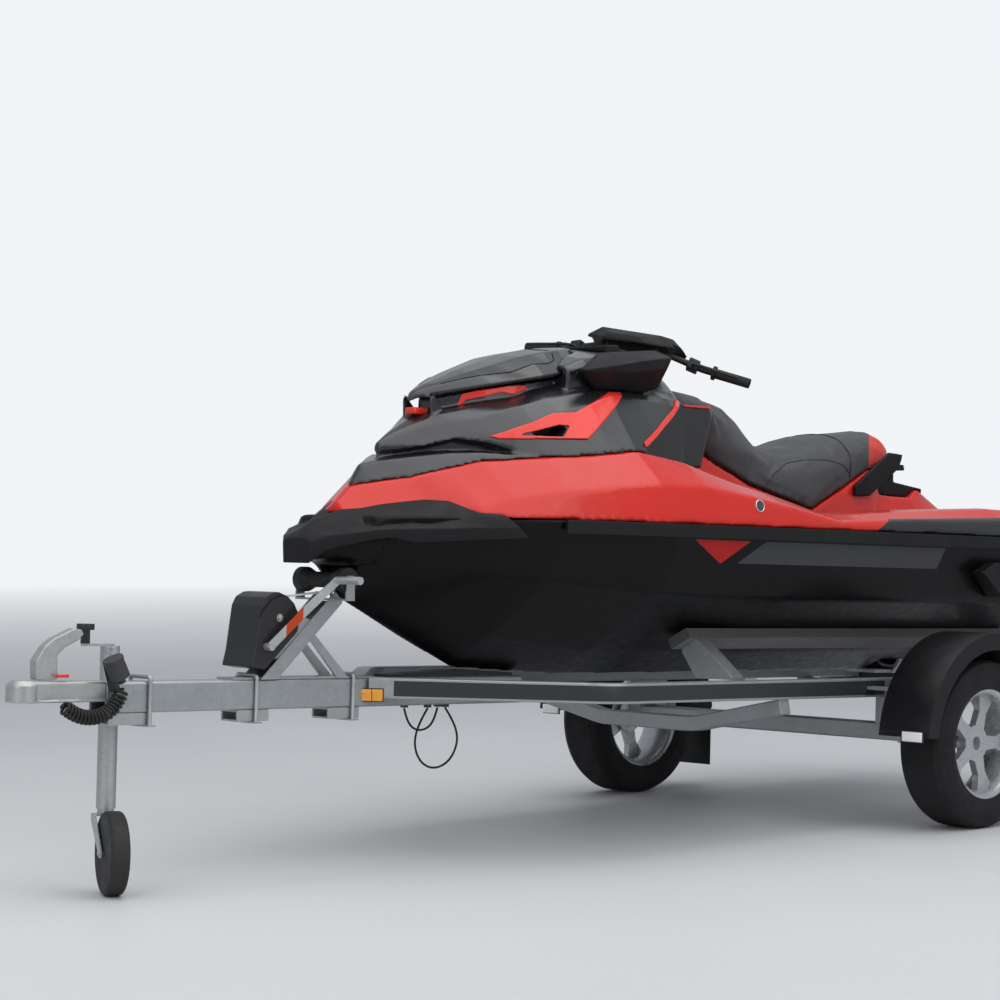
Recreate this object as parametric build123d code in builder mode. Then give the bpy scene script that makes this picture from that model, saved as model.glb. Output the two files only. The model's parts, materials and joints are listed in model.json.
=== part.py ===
from build123d import *
import os
from math import cos, radians, sin, tan

# Personal watercraft strapped to its single-axle trailer, parked on the jockey wheel.
# +X is forward, towards the bow and the coupling, +Y is port and +Z is up. The origin is on
# the floor under the middle of the overall length. Millimetres and degrees throughout.
# Everything is drawn level and tipped nose up about the axle line as it is written out.

os.makedirs("parts", exist_ok=True)

# Stance
NOSE_UP = 2.0
HUB_Z = 286.0
FRONT_REACH = 3367.0
REAR_REACH = 1150.0
AXLE_X = (REAR_REACH - FRONT_REACH) / 2
TRACK = 1573.0
SEAM = 0.6
FIT = 0.5
SWING_GAP = 6.0
TIP_AXIS = Axis((AXLE_X, 0, HUB_Z), (0, 1, 0))

# Craft: stations run forward from the transom, heights run up from the keel
CRAFT_LENGTH = 3332.0
TRANSOM_X = AXLE_X - 975.0
KEEL_Z = 495.0
SHEER_H = 502.0
RUB_RAIL_H = 42.0
RUB_RAIL_T = 12.0
FOOTWELL_H = 330.0
FOOTWELL_INNER_Y = 228.0
FOOTWELL_OUTER_Y = 455.0
PLATFORM_H = 522.0
ENGINE_SIZE = (620.0, 380.0, 330.0)
ENGINE_CENTRE_ST = 1330.0
ENGINE_FLOOR_H = 150.0
BIN_WALL = 4.0
SEAT_GAP = 3.0
SEAT_HINGE = (1812.0, 970.0)
HOOD_HINGE = (2850.0, 880.0)

# Jet pump
PUMP_BORE_R = 81.0
PUMP_WALL = 9.0
DUCT_R = PUMP_BORE_R + PUMP_WALL
PUMP_H = DUCT_R + 8.0
TIP_GAP = 5.5
IMPELLER_R = PUMP_BORE_R - TIP_GAP
HUB_R = 30.0
IMPELLER_BLADES = 4
STATOR_VANES = 6
STATOR_LENGTH = 90.0
VANE_T = 5.0
DUCT_ST = 60.0
DUCT_LENGTH = 330.0
OUTLET_R = 48.0
EAR_Z = 62.0
EAR_T = 7.0
NOZZLE_PIVOT_ST = -24.0
NOZZLE_LENGTH = 85.0
NOZZLE_OUT_R = 44.0
GATE_PIVOT_ST = -40.0
GATE_ARM_Y = 81.0
GATE_RADIUS = 92.0
GATE_T = 6.0

# Steering
BAR_TILT = 22.0
BAR_TURN = 24.5
BAR_PIVOT_ST = 1861.0
BAR_PIVOT_H = 1080.0
BAR_HALF = 405.0
BAR_R = 11.0
GRIP_R = 17.0
STEM_R = 25.0
NOZZLE_RATIO = 0.8

# Trailer frame
RAIL_H = 64.0
RAIL_W = 50.0
RAIL_TOP = 500.0
RAIL_Y = 570.0
DRAWBAR_W = 80.0
DRAWBAR_H = 89.0
DRAWBAR_TOP = 498.0
DRAWBAR_WALL = 5.0
DRAWBAR_FRONT = 3075.0
DRAWBAR_REAR = 1420.0
AXLE_TUBE = 60.0
AXLE_TUBE_DX = 130.0
AXLE_TUBE_Z = 314.0
AXLE_HALF = RAIL_Y + 40.0

# Road wheels
SPOKES = 5
SPOKE_OUTLINE = ((50, -26), (110, -20), (168, -42), (168, 42), (110, 20), (50, 26))
STUB_R = 22.0
STUB_REACH = 13.5
GUARD_R = 378.0
GUARD_T = 5.0
GUARD_INNER_Y = 690.0
GUARD_OUTER_Y = 897.0

# Jockey wheel
JOCKEY_X = AXLE_X + 2980.0
JOCKEY_TUBE_R = 28.0
JOCKEY_Y = -DRAWBAR_W / 2 - JOCKEY_TUBE_R - 9
JOCKEY_LEG_R = JOCKEY_TUBE_R - 4
JOCKEY_TUBE_BOTTOM = 131.0
JOCKEY_TUBE_TOP = 585.0
JOCKEY_R = 119.0
JOCKEY_W = 55.0
JOCKEY_TRAIL = 105.0
JOCKEY_HEADING = 66.0

# Winch post
POST_FOOT = (2520.0, 470.0)
POST_HEAD = (2222.0, 744.0)
BOW_ROLLER = (2240.0, 796.0)
ROLLER_HALF = 109.0
ROLLER_BORE_R = 7.0


def at(station, height):
    """A point of the craft's centre plane, from its station and its height over the keel."""
    return TRANSOM_X + station, KEEL_Z + height


def ahead(distance, height):
    """A point of the centre plane, from its distance ahead of the axle and its height."""
    return AXLE_X + distance, height


def mirrored(half):
    """Close a half outline that starts and ends on the centre plane."""
    port = list(half)
    starboard = [(-y, z) for y, z in reversed(port) if y > 0]
    return port + starboard


def shell(rows, grow=0.0):
    """Loft a body through cross-sections: a station and a closed outline of y and height each."""
    with BuildPart() as body:
        for station, outline in rows:
            with BuildSketch(Plane.YZ.offset(TRANSOM_X + station)):
                with BuildLine():
                    Polyline(*[(y, KEEL_Z + h) for y, h in outline], close=True)
                make_face()
                if grow:
                    offset(amount=grow, kind=Kind.INTERSECTION)
        loft(ruled=True)
    return body.part


def ribs(rows, grow=0.0):
    """Loft a body that is the same on both sides from the half outlines of its port side."""
    return shell([(station, mirrored(half)) for station, half in rows], grow)


def slab(points, y_from, y_to):
    """Extrude an outline of the centre plane sideways, from y_from out to y_to."""
    with BuildPart() as plate:
        with BuildSketch(Plane.XZ.offset(-y_from)):
            with BuildLine():
                Polyline(*points, close=True)
            make_face()
        extrude(amount=y_from - y_to)
    return plate.part


def slab_pair(points, y_inner, y_outer):
    """The same outline extruded on both sides, between two distances from the centre plane."""
    return [slab(points, y_inner, y_outer), slab(points, -y_outer, -y_inner)]


def store(piece, name):
    """Tip a finished piece nose up with the whole trailer, label it and write it."""
    solid = piece.part.rotate(TIP_AXIS, -NOSE_UP)
    solid.label = name
    export_step(solid, f"parts/{name}.step")
    print(name, len(solid.solids()), round(solid.volume / 1e6, 3))


# Hull. Columns: station, keel height, strake y and height, chine y and height, sheer y
HULL_RIBS = (
    (0, 0, 200, 80, 550, 264, 575),
    (900, 0, 200, 80, 550, 264, 600),
    (1700, 0, 200, 80, 550, 264, 606),
    (2250, 2, 190, 88, 512, 284, 580),
    (2679, 27, 160, 130, 415, 316, 492),
    (2904, 123, 120, 205, 312, 348, 405),
    (3060, 197, 82, 262, 225, 372, 288),
    (3177, 250, 50, 300, 146, 390, 180),
)
# The chin that overhangs the bow roller. Columns: station, floor height, floor y, sheer y, top
CHIN_RIBS = (
    (3150, 352, 150, 216, 480),
    (3230, 356, 105, 146, 460),
    (3285, 360, 70, 92, 430),
    (CRAFT_LENGTH - 6, 366, 24, 38, 404),
)
hull_sections = [
    (st, [(0, k), (sy, sh), (cy, ch), (gy, SHEER_H), (0, SHEER_H)])
    for st, k, sy, sh, cy, ch, gy in HULL_RIBS
]
chin_sections = [
    (st, [(0, floor), (fy, floor + 4), (gy, 0.5 * (floor + top)), (gy - 8, top), (0, top)])
    for st, floor, fy, gy, top in CHIN_RIBS
]

# Footwells and swim platform, one outline cut from deck and hull alike
footwell_outline = [
    at(-20, 800),
    at(-20, PLATFORM_H),
    at(700, PLATFORM_H),
    at(800, FOOTWELL_H),
    at(1800, FOOTWELL_H),
    at(1990, 640),
    at(2050, 800),
]
platform_outline = [at(-20, 800), at(-20, PLATFORM_H), at(240, PLATFORM_H), at(240, 800)]
footwells = [
    slab(footwell_outline, FOOTWELL_INNER_Y, FOOTWELL_OUTER_Y),
    slab(footwell_outline, -FOOTWELL_OUTER_Y, -FOOTWELL_INNER_Y),
    slab(platform_outline, -FOOTWELL_OUTER_Y, FOOTWELL_OUTER_Y),
]

# Engine bay under the seat, open at the top through the deck
engine_length, engine_width, engine_height = ENGINE_SIZE
BAY_MARGIN = 25.0
bay_length = engine_length + 2 * BAY_MARGIN
bay_width = engine_width + BAY_MARGIN
BAY_LID_WIDTH = 260.0
bay_x = TRANSOM_X + ENGINE_CENTRE_ST

# Pump tunnel in the stern
TUNNEL_R = DUCT_R + 14.0
TUNNEL_LENGTH = 560.0
SHAFT_HOLE_R = 28.0
SHAFT_R = 14.0

with BuildPart() as hull:
    add(ribs(hull_sections))
    add(ribs(chin_sections))
    add(footwells, mode=Mode.SUBTRACT)
    with BuildSketch(Plane.XY.offset(KEEL_Z + ENGINE_FLOOR_H)):
        with Locations((bay_x, 0)):
            Rectangle(bay_length, bay_width)
    extrude(amount=SHEER_H, mode=Mode.SUBTRACT)
    with BuildSketch(Plane.YZ.offset(TRANSOM_X - 10)):
        with Locations((0, KEEL_Z + PUMP_H)):
            Circle(TUNNEL_R)
        with Locations((0, KEEL_Z + PUMP_H / 2 - 40)):
            Rectangle(2 * TUNNEL_R, PUMP_H + 80)
    extrude(amount=TUNNEL_LENGTH + 10, mode=Mode.SUBTRACT)
    with BuildSketch(Plane.YZ.offset(TRANSOM_X + TUNNEL_LENGTH - 5)):
        with Locations((0, KEEL_Z + PUMP_H)):
            Circle(SHAFT_HOLE_R)
    extrude(amount=ENGINE_CENTRE_ST - TUNNEL_LENGTH, mode=Mode.SUBTRACT)
store(hull, "hull")

# Deck. Columns: station, sheer y, flank y and height, shoulder y and height, crown height
DECK_RIBS = (
    (0, 569, 560, 560, 505, 598, 604),
    (500, 590, 578, 560, 512, 604, 640),
    (1000, 596, 590, 548, 512, 580, 650),
    (1437, 600, 594, 532, 512, 552, 640),
    (1640, 600, 590, 562, 488, 602, 640),
    (1875, 594, 578, 596, 470, 648, 690),
    (2093, 584, 560, 622, 448, 704, 720),
    (2290, 572, 542, 622, 430, 730, 742),
    (2479, 535, 505, 606, 392, 708, 722),
    (2629, 498, 470, 590, 345, 696, 706),
    (2822, 436, 405, 560, 270, 676, 682),
    (2918, 392, 368, 530, 205, 648, 654),
    (2963, 322, 270, 545, 172, 634, 640),
    (3000, 253, 205, 548, 130, 621, 627),
    (3097, 160, 125, 531, 48, 599, 602),
    (3128, 130, 98, 523, 16, 591, 592),
    (3190, 60, 42, 513, 8, 534, 535),
)
deck_sections = [
    (st, [(0, SHEER_H), (gy, SHEER_H), (fy, fh), (sy, sh), (0, crown)])
    for st, gy, fy, fh, sy, sh, crown in DECK_RIBS
]

# Seat. Columns: station, underside height, skirt y, waist y and height, side y and height,
# top y and height, crown height
SEAT_RIBS = (
    (1800, 880, 70, 90, 915, 78, 945, 50, 970, 978),
    (1745, 850, 120, 150, 900, 138, 935, 90, 962, 974),
    (1640, 760, 140, 184, 885, 164, 915, 104, 948, 962),
    (1590, 734, 146, 165, 800, 150, 890, 110, 930, 950),
    (1500, 700, 150, 160, 775, 130, 850, 100, 915, 934),
    (1405, 662, 155, 148, 760, 106, 830, 66, 885, 898),
    (1310, 632, 182, 158, 720, 100, 775, 60, 798, 806),
    (1220, 606, 198, 174, 705, 140, 762, 74, 786, 791),
    (1122, 578, 206, 190, 700, 158, 775, 80, 796, 800),
    (1030, 622, 206, 198, 730, 160, 798, 80, 824, 830),
    (930, 665, 200, 198, 750, 158, 820, 78, 846, 851),
    (760, 742, 184, 180, 780, 146, 840, 72, 862, 868),
    (640, 770, 160, 156, 800, 128, 850, 64, 876, 882),
    (585, 790, 128, 126, 806, 104, 836, 52, 858, 866),
    (535, 800, 88, 86, 806, 70, 814, 40, 824, 828),
)
seat_sections = [
    (st, [(0, under), (ky, under), (wy, wh), (dy, dh), (ty, th), (0, crown)])
    for st, under, ky, wy, wh, dy, dh, ty, th, crown in SEAT_RIBS
]
# The pedestal carries the seat, so its top follows the seat's underside as far as the tail
PEDESTAL_END = (700, 738, 170)
PEDESTAL_INSET = 6.0
pedestal_rows = [(st, under, ky) for st, under, ky, *_ in SEAT_RIBS if st > PEDESTAL_END[0]]
pedestal_sections = [
    (st, [(0, FOOTWELL_H - 20), (FOOTWELL_INNER_Y, FOOTWELL_H - 20),
          (ky - PEDESTAL_INSET, under - SEAT_GAP), (0, under - SEAT_GAP)])
    for st, under, ky in pedestal_rows + [PEDESTAL_END]
]
# The tail behind it. Columns: station, foot y, shoulder y and height, crown height
TAIL_RIBS = (
    (720, 212, 180, 648, 650),
    (500, 208, 176, 646, 652),
    (445, 204, 160, 678, 687),
    (250, 190, 130, 604, 608),
)
tail_sections = [
    (st, [(0, PLATFORM_H - 20), (foot, PLATFORM_H - 20), (sy, sh), (0, crown)])
    for st, foot, sy, sh, crown in TAIL_RIBS
]

BIN_ST = (2360.0, 2690.0)
BIN_HALF_W = 120.0
BIN_FLOOR_H = 560.0
STEM_DEPTH = 110.0
bar_axis = (-sin(radians(BAR_TILT)), 0, cos(radians(BAR_TILT)))
bar_x, bar_z = at(BAR_PIVOT_ST, BAR_PIVOT_H)
# The bars' own frame: x ahead along the steered direction, z up the steering axis
bar_ahead = Vector(cos(radians(BAR_TILT)), 0, sin(radians(BAR_TILT)))
bar_heading = bar_ahead * cos(radians(BAR_TURN)) + Vector(0, sin(radians(BAR_TURN)), 0)
bar_straight = Plane(origin=(bar_x, 0, bar_z), x_dir=bar_ahead, z_dir=bar_axis)
bar_frame = Plane(origin=(bar_x, 0, bar_z), x_dir=bar_heading, z_dir=bar_axis)

deck_blank = ribs(deck_sections)
pedestal = ribs(pedestal_sections)
sheer_plane = Plane.XY.offset(KEEL_Z + SHEER_H)
pedestal_top = split(pedestal, sheer_plane, keep=Keep.TOP)
tail_top = split(ribs(tail_sections), sheer_plane, keep=Keep.TOP)


def storage_space(grow):
    """The bin's outer box, grown all round, up through the cowl."""
    rear, front = BIN_ST
    x_from, z_floor = at(rear - grow, BIN_FLOOR_H - grow)
    x_to, z_top = at(front + grow, BAR_PIVOT_H)
    return slab([(x_from, z_floor), (x_to, z_floor), (x_to, z_top), (x_from, z_top)],
                -BIN_HALF_W - grow, BIN_HALF_W + grow)


with BuildPart() as deck:
    add(deck_blank)
    add(footwells, mode=Mode.SUBTRACT)
    # nothing of the blank stays over the seat's own space
    add(slab([at(430, 900), at(430, PLATFORM_H), at(1760, PLATFORM_H), at(1760, 900)],
             -FOOTWELL_INNER_Y - 1, FOOTWELL_INNER_Y + 1), mode=Mode.SUBTRACT)
    add(slab([at(238, 900), at(238, PLATFORM_H), at(440, PLATFORM_H), at(440, 900)],
             -FOOTWELL_INNER_Y - 1, FOOTWELL_INNER_Y + 1), mode=Mode.SUBTRACT)
    add([pedestal_top, tail_top])
    with BuildSketch(Plane.XY.offset(KEEL_Z + SHEER_H - 10)):
        with Locations((bay_x, 0)):
            Rectangle(bay_length - 90, BAY_LID_WIDTH)
    extrude(amount=400, mode=Mode.SUBTRACT)
    add(storage_space(SEAM), mode=Mode.SUBTRACT)
store(deck, "deck")

with BuildPart() as engine_block:
    with BuildSketch(Plane.XY.offset(KEEL_Z + ENGINE_FLOOR_H)):
        with Locations((bay_x, 0)):
            RectangleRounded(engine_length, engine_width, 40)
    extrude(amount=engine_height)
    chamfer(engine_block.faces().sort_by(Axis.Z)[-1].edges(), 30)
store(engine_block, "engine_block")

# Rub rails along the sheer, outside hull and deck
with BuildPart() as rub_rails:
    for side in (1, -1):
        rail_points = [(TRANSOM_X + row[0], side * row[6]) for row in HULL_RIBS if row[0] < 2800]
        with BuildSketch(Plane.XY.offset(KEEL_Z + SHEER_H - RUB_RAIL_H)):
            with BuildLine():
                inner = Polyline(*[(x, y + side * SEAM) for x, y in rail_points])
                outer = Polyline(*[(x, y + side * RUB_RAIL_T) for x, y in rail_points])
                Line(inner @ 0, outer @ 0)
                Line(inner @ 1, outer @ 1)
            make_face()
        extrude(amount=RUB_RAIL_H)
store(rub_rails, "rub_rails")


# Bow bumper. Columns: station, centre height, inner y and height, ridge y and height,
# outer y and height, lower y and height
BUMPER_RIBS = (
    (2780, 500, 442, 508, 450, 506, 468, 478, 464, 446),
    (2877, 498, 414, 508, 430, 506, 442, 470, 438, 440),
    (2930, 500, 372, 512, 379, 502, 404, 468, 400, 437),
    (2963, 535, 270, 546, 346, 498, 378, 468, 374, 434),
    (3000, 538, 205, 549, 310, 495, 350, 464, 346, 430),
    (3097, 520, 125, 532, 215, 487, 284, 460, 280, 423),
    (3150, 506, 82, 518, 163, 480, 240, 458, 236, 436),
    (3190, 500, 40, 513, 122, 472, 205, 454, 202, 430),
    (3255, 484, 24, 482, 58, 458, 140, 440, 138, 410),
    (3299, 456, 20, 452, 50, 440, 98, 432, 96, 392),
    (CRAFT_LENGTH, 424, 10, 424, 44, 421, 60, 412, 58, 352),
)
bumper_sections = [
    (st, [(0, low), (ly, low), (oy, oh), (ry, rh), (iy, ih), (0, centre)])
    for st, centre, iy, ih, ry, rh, oy, oh, ly, low in BUMPER_RIBS
]
# The bumper's rear ends are cut on a slant
bumper_end = [at(2700, 600), at(2880, 600), at(2880, 508), at(2786, 430), at(2700, 430)]
with BuildPart() as bow_bumper:
    add(ribs(bumper_sections))
    add(ribs(hull_sections, grow=SEAM), mode=Mode.SUBTRACT)
    add(ribs(chin_sections, grow=SEAM), mode=Mode.SUBTRACT)
    add(deck_blank.moved(Location((0, 0, SEAM))), mode=Mode.SUBTRACT)
    add(ribs(deck_sections, grow=SEAM), mode=Mode.SUBTRACT)
    add(slab(bumper_end, -500, 500), mode=Mode.SUBTRACT)
store(bow_bumper, "bow_bumper")

# Hood. Columns: station, lip y and height, edge y and height, seam y and height,
# top y and height, crown height
HOOD_RIBS = (
    (2890, 4, 862, 6, 868, 5, 873, 3, 876, 877),
    (2871, 22, 874, 26, 882, 20, 893, 12, 897, 899),
    (2820, 56, 886, 60, 896, 47, 915, 26, 922, 925),
    (2745, 108, 904, 113, 914, 88, 940, 48, 950, 954),
    (2691, 158, 918, 164, 928, 124, 954, 70, 970, 976),
    (2596, 198, 938, 205, 948, 160, 968, 96, 1000, 1008),
    (2510, 208, 952, 216, 962, 172, 1000, 112, 1028, 1036),
    (2420, 198, 968, 205, 978, 170, 1006, 120, 1048, 1057),
    (2330, 152, 990, 160, 1002, 134, 1026, 100, 1062, 1072),
    (2250, 92, 1008, 100, 1020, 84, 1046, 62, 1074, 1080),
    (2190, 34, 1020, 40, 1032, 32, 1056, 24, 1078, 1084),
)


def hood_body(grow):
    """The hood's solid, grown all round where a clearance is wanted."""
    rows = [
        (st, [(0, lip_h), (lip_y, lip_h), (edge_y, edge_h), (seam_y, seam_h), (top_y, top_h), (0, crown)])
        for st, lip_y, lip_h, edge_y, edge_h, seam_y, seam_h, top_y, top_h, crown in HOOD_RIBS
    ]
    if grow:
        first, last = rows[0], rows[-1]
        rows = [(first[0] + grow, first[1])] + rows[1:-1] + [(last[0] - grow, last[1])]
    return ribs(rows, grow=grow)


# Apron that carries the cowl's nose down to the deck. Columns: station, base y and height,
# top y and height
APRON_RIBS = (
    (3128, 14, 590, 4, 596),
    (3088, 56, 600, 8, 657),
    (3040, 96, 611, 40, 671),
    (2963, 170, 634, 110, 686),
    (2880, 232, 660, 180, 700),
    (2800, 276, 680, 246, 706),
    (2720, 312, 690, 300, 702),
    (2629, 345, 696, 343, 698),
)
# Cowl. Columns: station, neck y, lower edge y and height, crease y and height, flank y and height,
# shoulder y and height, crown height
COWL_RIBS = (
    (3020, 4, 12, 702, 11, 716, 8, 724, 4, 727, 728),
    (2965, 24, 54, 709, 46, 730, 32, 748, 18, 760, 766),
    (2902, 70, 110, 724, 84, 752, 64, 778, 40, 792, 802),
    (2832, 130, 166, 748, 140, 778, 118, 802, 84, 826, 836),
    (2765, 190, 240, 736, 226, 764, 178, 812, 118, 846, 862),
    (2700, 240, 295, 712, 272, 774, 214, 836, 142, 868, 890),
    (2629, 300, 345, 697, 296, 806, 238, 858, 156, 886, 918),
    (2526, 340, 384, 704, 306, 842, 250, 888, 172, 924, 955),
    (2400, 370, 414, 717, 312, 872, 258, 912, 186, 940, 985),
    (2290, 385, 430, 731, 306, 908, 268, 928, 205, 944, 1005),
    (2160, 390, 436, 716, 300, 912, 270, 930, 220, 944, 1025),
    (2000, 392, 440, 686, 292, 900, 262, 925, 210, 950, 1040),
    (1880, 380, 446, 652, 280, 880, 245, 912, 200, 950, 1040),
)
# The narrow column between the knees. Columns: station, foot y, shoulder y, top y, crown height
COLUMN_RIBS = (
    (2093, 216, 212, 190, 1040),
    (1930, 212, 206, 160, 1052),
    (1824, 208, 202, 120, 1018),
)
COLUMN_SHOULDER_H = 912.0
# Fairing round the hood's rear. Columns: station, foot y, side y and height, top y and height, crown
FAIRING_RIBS = (
    (2415, 226, 232, 985, 214, 1000, 1030),
    (2330, 230, 240, 1000, 214, 1030, 1062),
    (2215, 230, 238, 1016, 196, 1048, 1074),
    (2110, 226, 234, 1030, 190, 1060, 1082),
)
COWL_ROOT_H = 560.0
FAIRING_ROOT_H = 900.0
PLINTH_INSET = 24.0
apron_sections = [
    (st, [(0, COWL_ROOT_H), (by, COWL_ROOT_H), (by, bh), (ty, th), (0, th + 2)])
    for st, by, bh, ty, th in APRON_RIBS
]
cowl_sections = [
    (st, [(0, COWL_ROOT_H), (neck, COWL_ROOT_H), (neck, eh - 6), (ey, eh), (cy, ch), (fy, fh), (ty, th),
          (0, crown)])
    for st, neck, ey, eh, cy, ch, fy, fh, ty, th, crown in COWL_RIBS
]
column_sections = [
    (st, [(0, COWL_ROOT_H), (foot, COWL_ROOT_H), (sy, COLUMN_SHOULDER_H), (ty, crown - 30), (0, crown)])
    for st, foot, sy, ty, crown in COLUMN_RIBS
]
fairing_sections = [
    (st, [(0, FAIRING_ROOT_H), (foot, FAIRING_ROOT_H), (sy, sh), (ty, th), (0, crown)])
    for st, foot, sy, sh, ty, th, crown in FAIRING_RIBS
]
# The plinth under the hood stands in from its lip, which leaves a dark recess all round
plinth_sections = [
    (st, [(0, COWL_ROOT_H), (max(lip_y - PLINTH_INSET, 8), COWL_ROOT_H), (max(lip_y - PLINTH_INSET, 8), lip_h),
          (0, lip_h)])
    for st, lip_y, lip_h, *_ in HOOD_RIBS if st < 2830
]
KNEE_EDGE = ((2240, 745), (1900, 912))
KNEE_INNER_Y = 150.0
knee_cut = [at(2250, 540), at(*KNEE_EDGE[0]), at(*KNEE_EDGE[1]), at(1850, 960), at(1850, 1120), at(1700, 1120),
            at(1700, 540)]
# Vent mouths and the red rings round them: outlines on the craft's side
VENT_OUTLINE = ((2691, 763), (2546, 802), (2509, 801), (2544, 765))
RING_OUTLINE = ((2763, 757), (2551, 840), (2466, 847), (2282, 923), (2216, 927), (2460, 762), (2741, 750))
PLINTH_BAND = ((2758, 852), (2743, 895), (2710, 906), (2613, 926), (2563, 930), (2544, 920), (2605, 897),
               (2640, 903), (2733, 875), (2751, 849))
VENT_FLOOR_Y = 262.0
vent_side = [at(*p) for p in VENT_OUTLINE]
# Cheeks of the column that reach back beside the seat's front
CHEEK_Y = (191.0, 203.0)
cheek_side = [at(1840, 700), at(1840, COLUMN_SHOULDER_H), at(1680, COLUMN_SHOULDER_H), at(1668, 884),
              at(1720, 700)]
LUG_GAP = 5.0
LUG_T = 8.0
HOOD_LUG_Y = 58.0
SEAT_LUG_Y = 18.0
PIN_R = 4.0
PIN_FIT = 1.0
hinge_st, hinge_h = HOOD_HINGE
hood_lug = [at(hinge_st + 9, hinge_h - 8), at(hinge_st + 9, hinge_h + 7), at(hinge_st - 9, hinge_h + 7),
            at(hinge_st - 50, 842), at(hinge_st - 50, 800), at(hinge_st, 800)]
lid_st, lid_h = SEAT_HINGE
seat_lug = [at(lid_st - 6, lid_h - 7), at(lid_st + 14, lid_h - 22), at(lid_st + 14, lid_h + 7),
            at(lid_st - 6, lid_h + 7)]
with BuildPart() as front_cowl:
    add(ribs(apron_sections))
    add(ribs(cowl_sections))
    add(slab_pair(knee_cut, KNEE_INNER_Y, 460), mode=Mode.SUBTRACT)
    add(slab_pair(vent_side, VENT_FLOOR_Y, 460), mode=Mode.SUBTRACT)
    add(ribs(column_sections))
    add(slab_pair(cheek_side, *CHEEK_Y))
    add(ribs(fairing_sections))
    add(ribs(plinth_sections))
    add(deck_blank.moved(Location((0, 0, SEAM))), mode=Mode.SUBTRACT)
    add(footwells, mode=Mode.SUBTRACT)
    add(pedestal.moved(Location((0, 0, SEAM))), mode=Mode.SUBTRACT)
    add(hood_body(SWING_GAP), mode=Mode.SUBTRACT)
    add(storage_space(SEAM), mode=Mode.SUBTRACT)
    with BuildSketch(bar_straight.offset(-STEM_DEPTH)):
        Circle(STEM_R + FIT)
    extrude(amount=2 * STEM_DEPTH, mode=Mode.SUBTRACT)
    # lugs either side of the hood's and the seat's hinge pins
    for y_lug, lug in ((HOOD_LUG_Y, hood_lug), (SEAT_LUG_Y, seat_lug)):
        add(slab_pair(lug, y_lug, y_lug + LUG_T))
    for pin, y_lug in ((HOOD_HINGE, HOOD_LUG_Y), (SEAT_HINGE, SEAT_LUG_Y)):
        with BuildSketch(Plane.XZ.offset(-y_lug - LUG_T - 1)):
            with Locations(at(*pin)):
                Circle(PIN_R + PIN_FIT)
        extrude(amount=2 * (y_lug + LUG_T + 1), mode=Mode.SUBTRACT)
store(front_cowl, "front_cowl")

with BuildPart() as hood:
    add(hood_body(0))
    with BuildSketch(Plane.XZ.offset(-HOOD_LUG_Y - LUG_T)):
        with Locations(at(*HOOD_HINGE)):
            Circle(PIN_R)
    extrude(amount=2 * (HOOD_LUG_Y + LUG_T))
store(hood, "hood")

lid_space = ribs([
    (st, [(0, lip_h - SWING_GAP), (300, lip_h - SWING_GAP), (300, 1200), (0, 1200)])
    for st, _, lip_h, *_ in HOOD_RIBS
])
with BuildPart() as storage_bin:
    add(storage_space(0))
    add(lid_space, mode=Mode.SUBTRACT)
    add(storage_space(-BIN_WALL), mode=Mode.SUBTRACT)
store(storage_bin, "storage_bin")

# Mirror pods beside the fairing. Columns: station, inner y, crest y and height, outer y and height,
# side y and height, root y and height
POD_RIBS = (
    (2400, 272, 286, 990, 296, 987, 293, 982, 284, 980),
    (2290, 236, 262, 1050, 334, 1006, 320, 984, 252, 918),
    (2200, 234, 268, 1060, 352, 1026, 338, 990, 252, 920),
    (2100, 232, 270, 1070, 356, 1040, 342, 1006, 256, 926),
    (2040, 236, 270, 1076, 345, 1048, 330, 1020, 284, 950),
)
# Gauge pod behind the fairing. Columns: station, half width, underside and top
GAUGE_RIBS = ((2040, 115, 1020, 1100), (2120, 130, 1030, 1094))
with BuildPart() as dash_pods:
    add(ribs([(st, [(0, low), (gy, low), (gy - 8, high), (0, high)]) for st, gy, low, high in GAUGE_RIBS]))
    for side in (1, -1):
        add(shell([
            (st, [(side * iy, rh), (side * iy, ch), (side * cy, ch), (side * oy, oh), (side * sy, sh),
                  (side * ry, rh)])
            for st, iy, cy, ch, oy, oh, sy, sh, ry, rh in POD_RIBS
        ]))
    add(ribs(cowl_sections, grow=SEAM), mode=Mode.SUBTRACT)
    add(ribs(column_sections, grow=SEAM), mode=Mode.SUBTRACT)
    add(ribs(fairing_sections, grow=SEAM), mode=Mode.SUBTRACT)
    add(hood_body(SWING_GAP), mode=Mode.SUBTRACT)
store(dash_pods, "dash_pods")

# Red trims: rings round the two vents of each side, and strips on the knee edge and the cheeks
TRIM_T = 5.0
STRIP_W = 14.0
strip_side = [at(*KNEE_EDGE[0]), at(*KNEE_EDGE[1]), at(KNEE_EDGE[1][0] + 6, KNEE_EDGE[1][1] + STRIP_W),
              at(KNEE_EDGE[0][0] + 6, KNEE_EDGE[0][1] + STRIP_W)]
piping_side = [at(1820, COLUMN_SHOULDER_H - 8), at(1820, COLUMN_SHOULDER_H), at(1684, COLUMN_SHOULDER_H),
               at(1684, COLUMN_SHOULDER_H - 8)]
with BuildPart() as bands:
    add(slab([at(*p) for p in PLINTH_BAND], -210, 210))
    add(ribs(plinth_sections, grow=TRIM_T), mode=Mode.INTERSECT)
    add(ribs(plinth_sections, grow=SEAM), mode=Mode.SUBTRACT)
    add(ribs(cowl_sections, grow=SEAM), mode=Mode.SUBTRACT)
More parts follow.
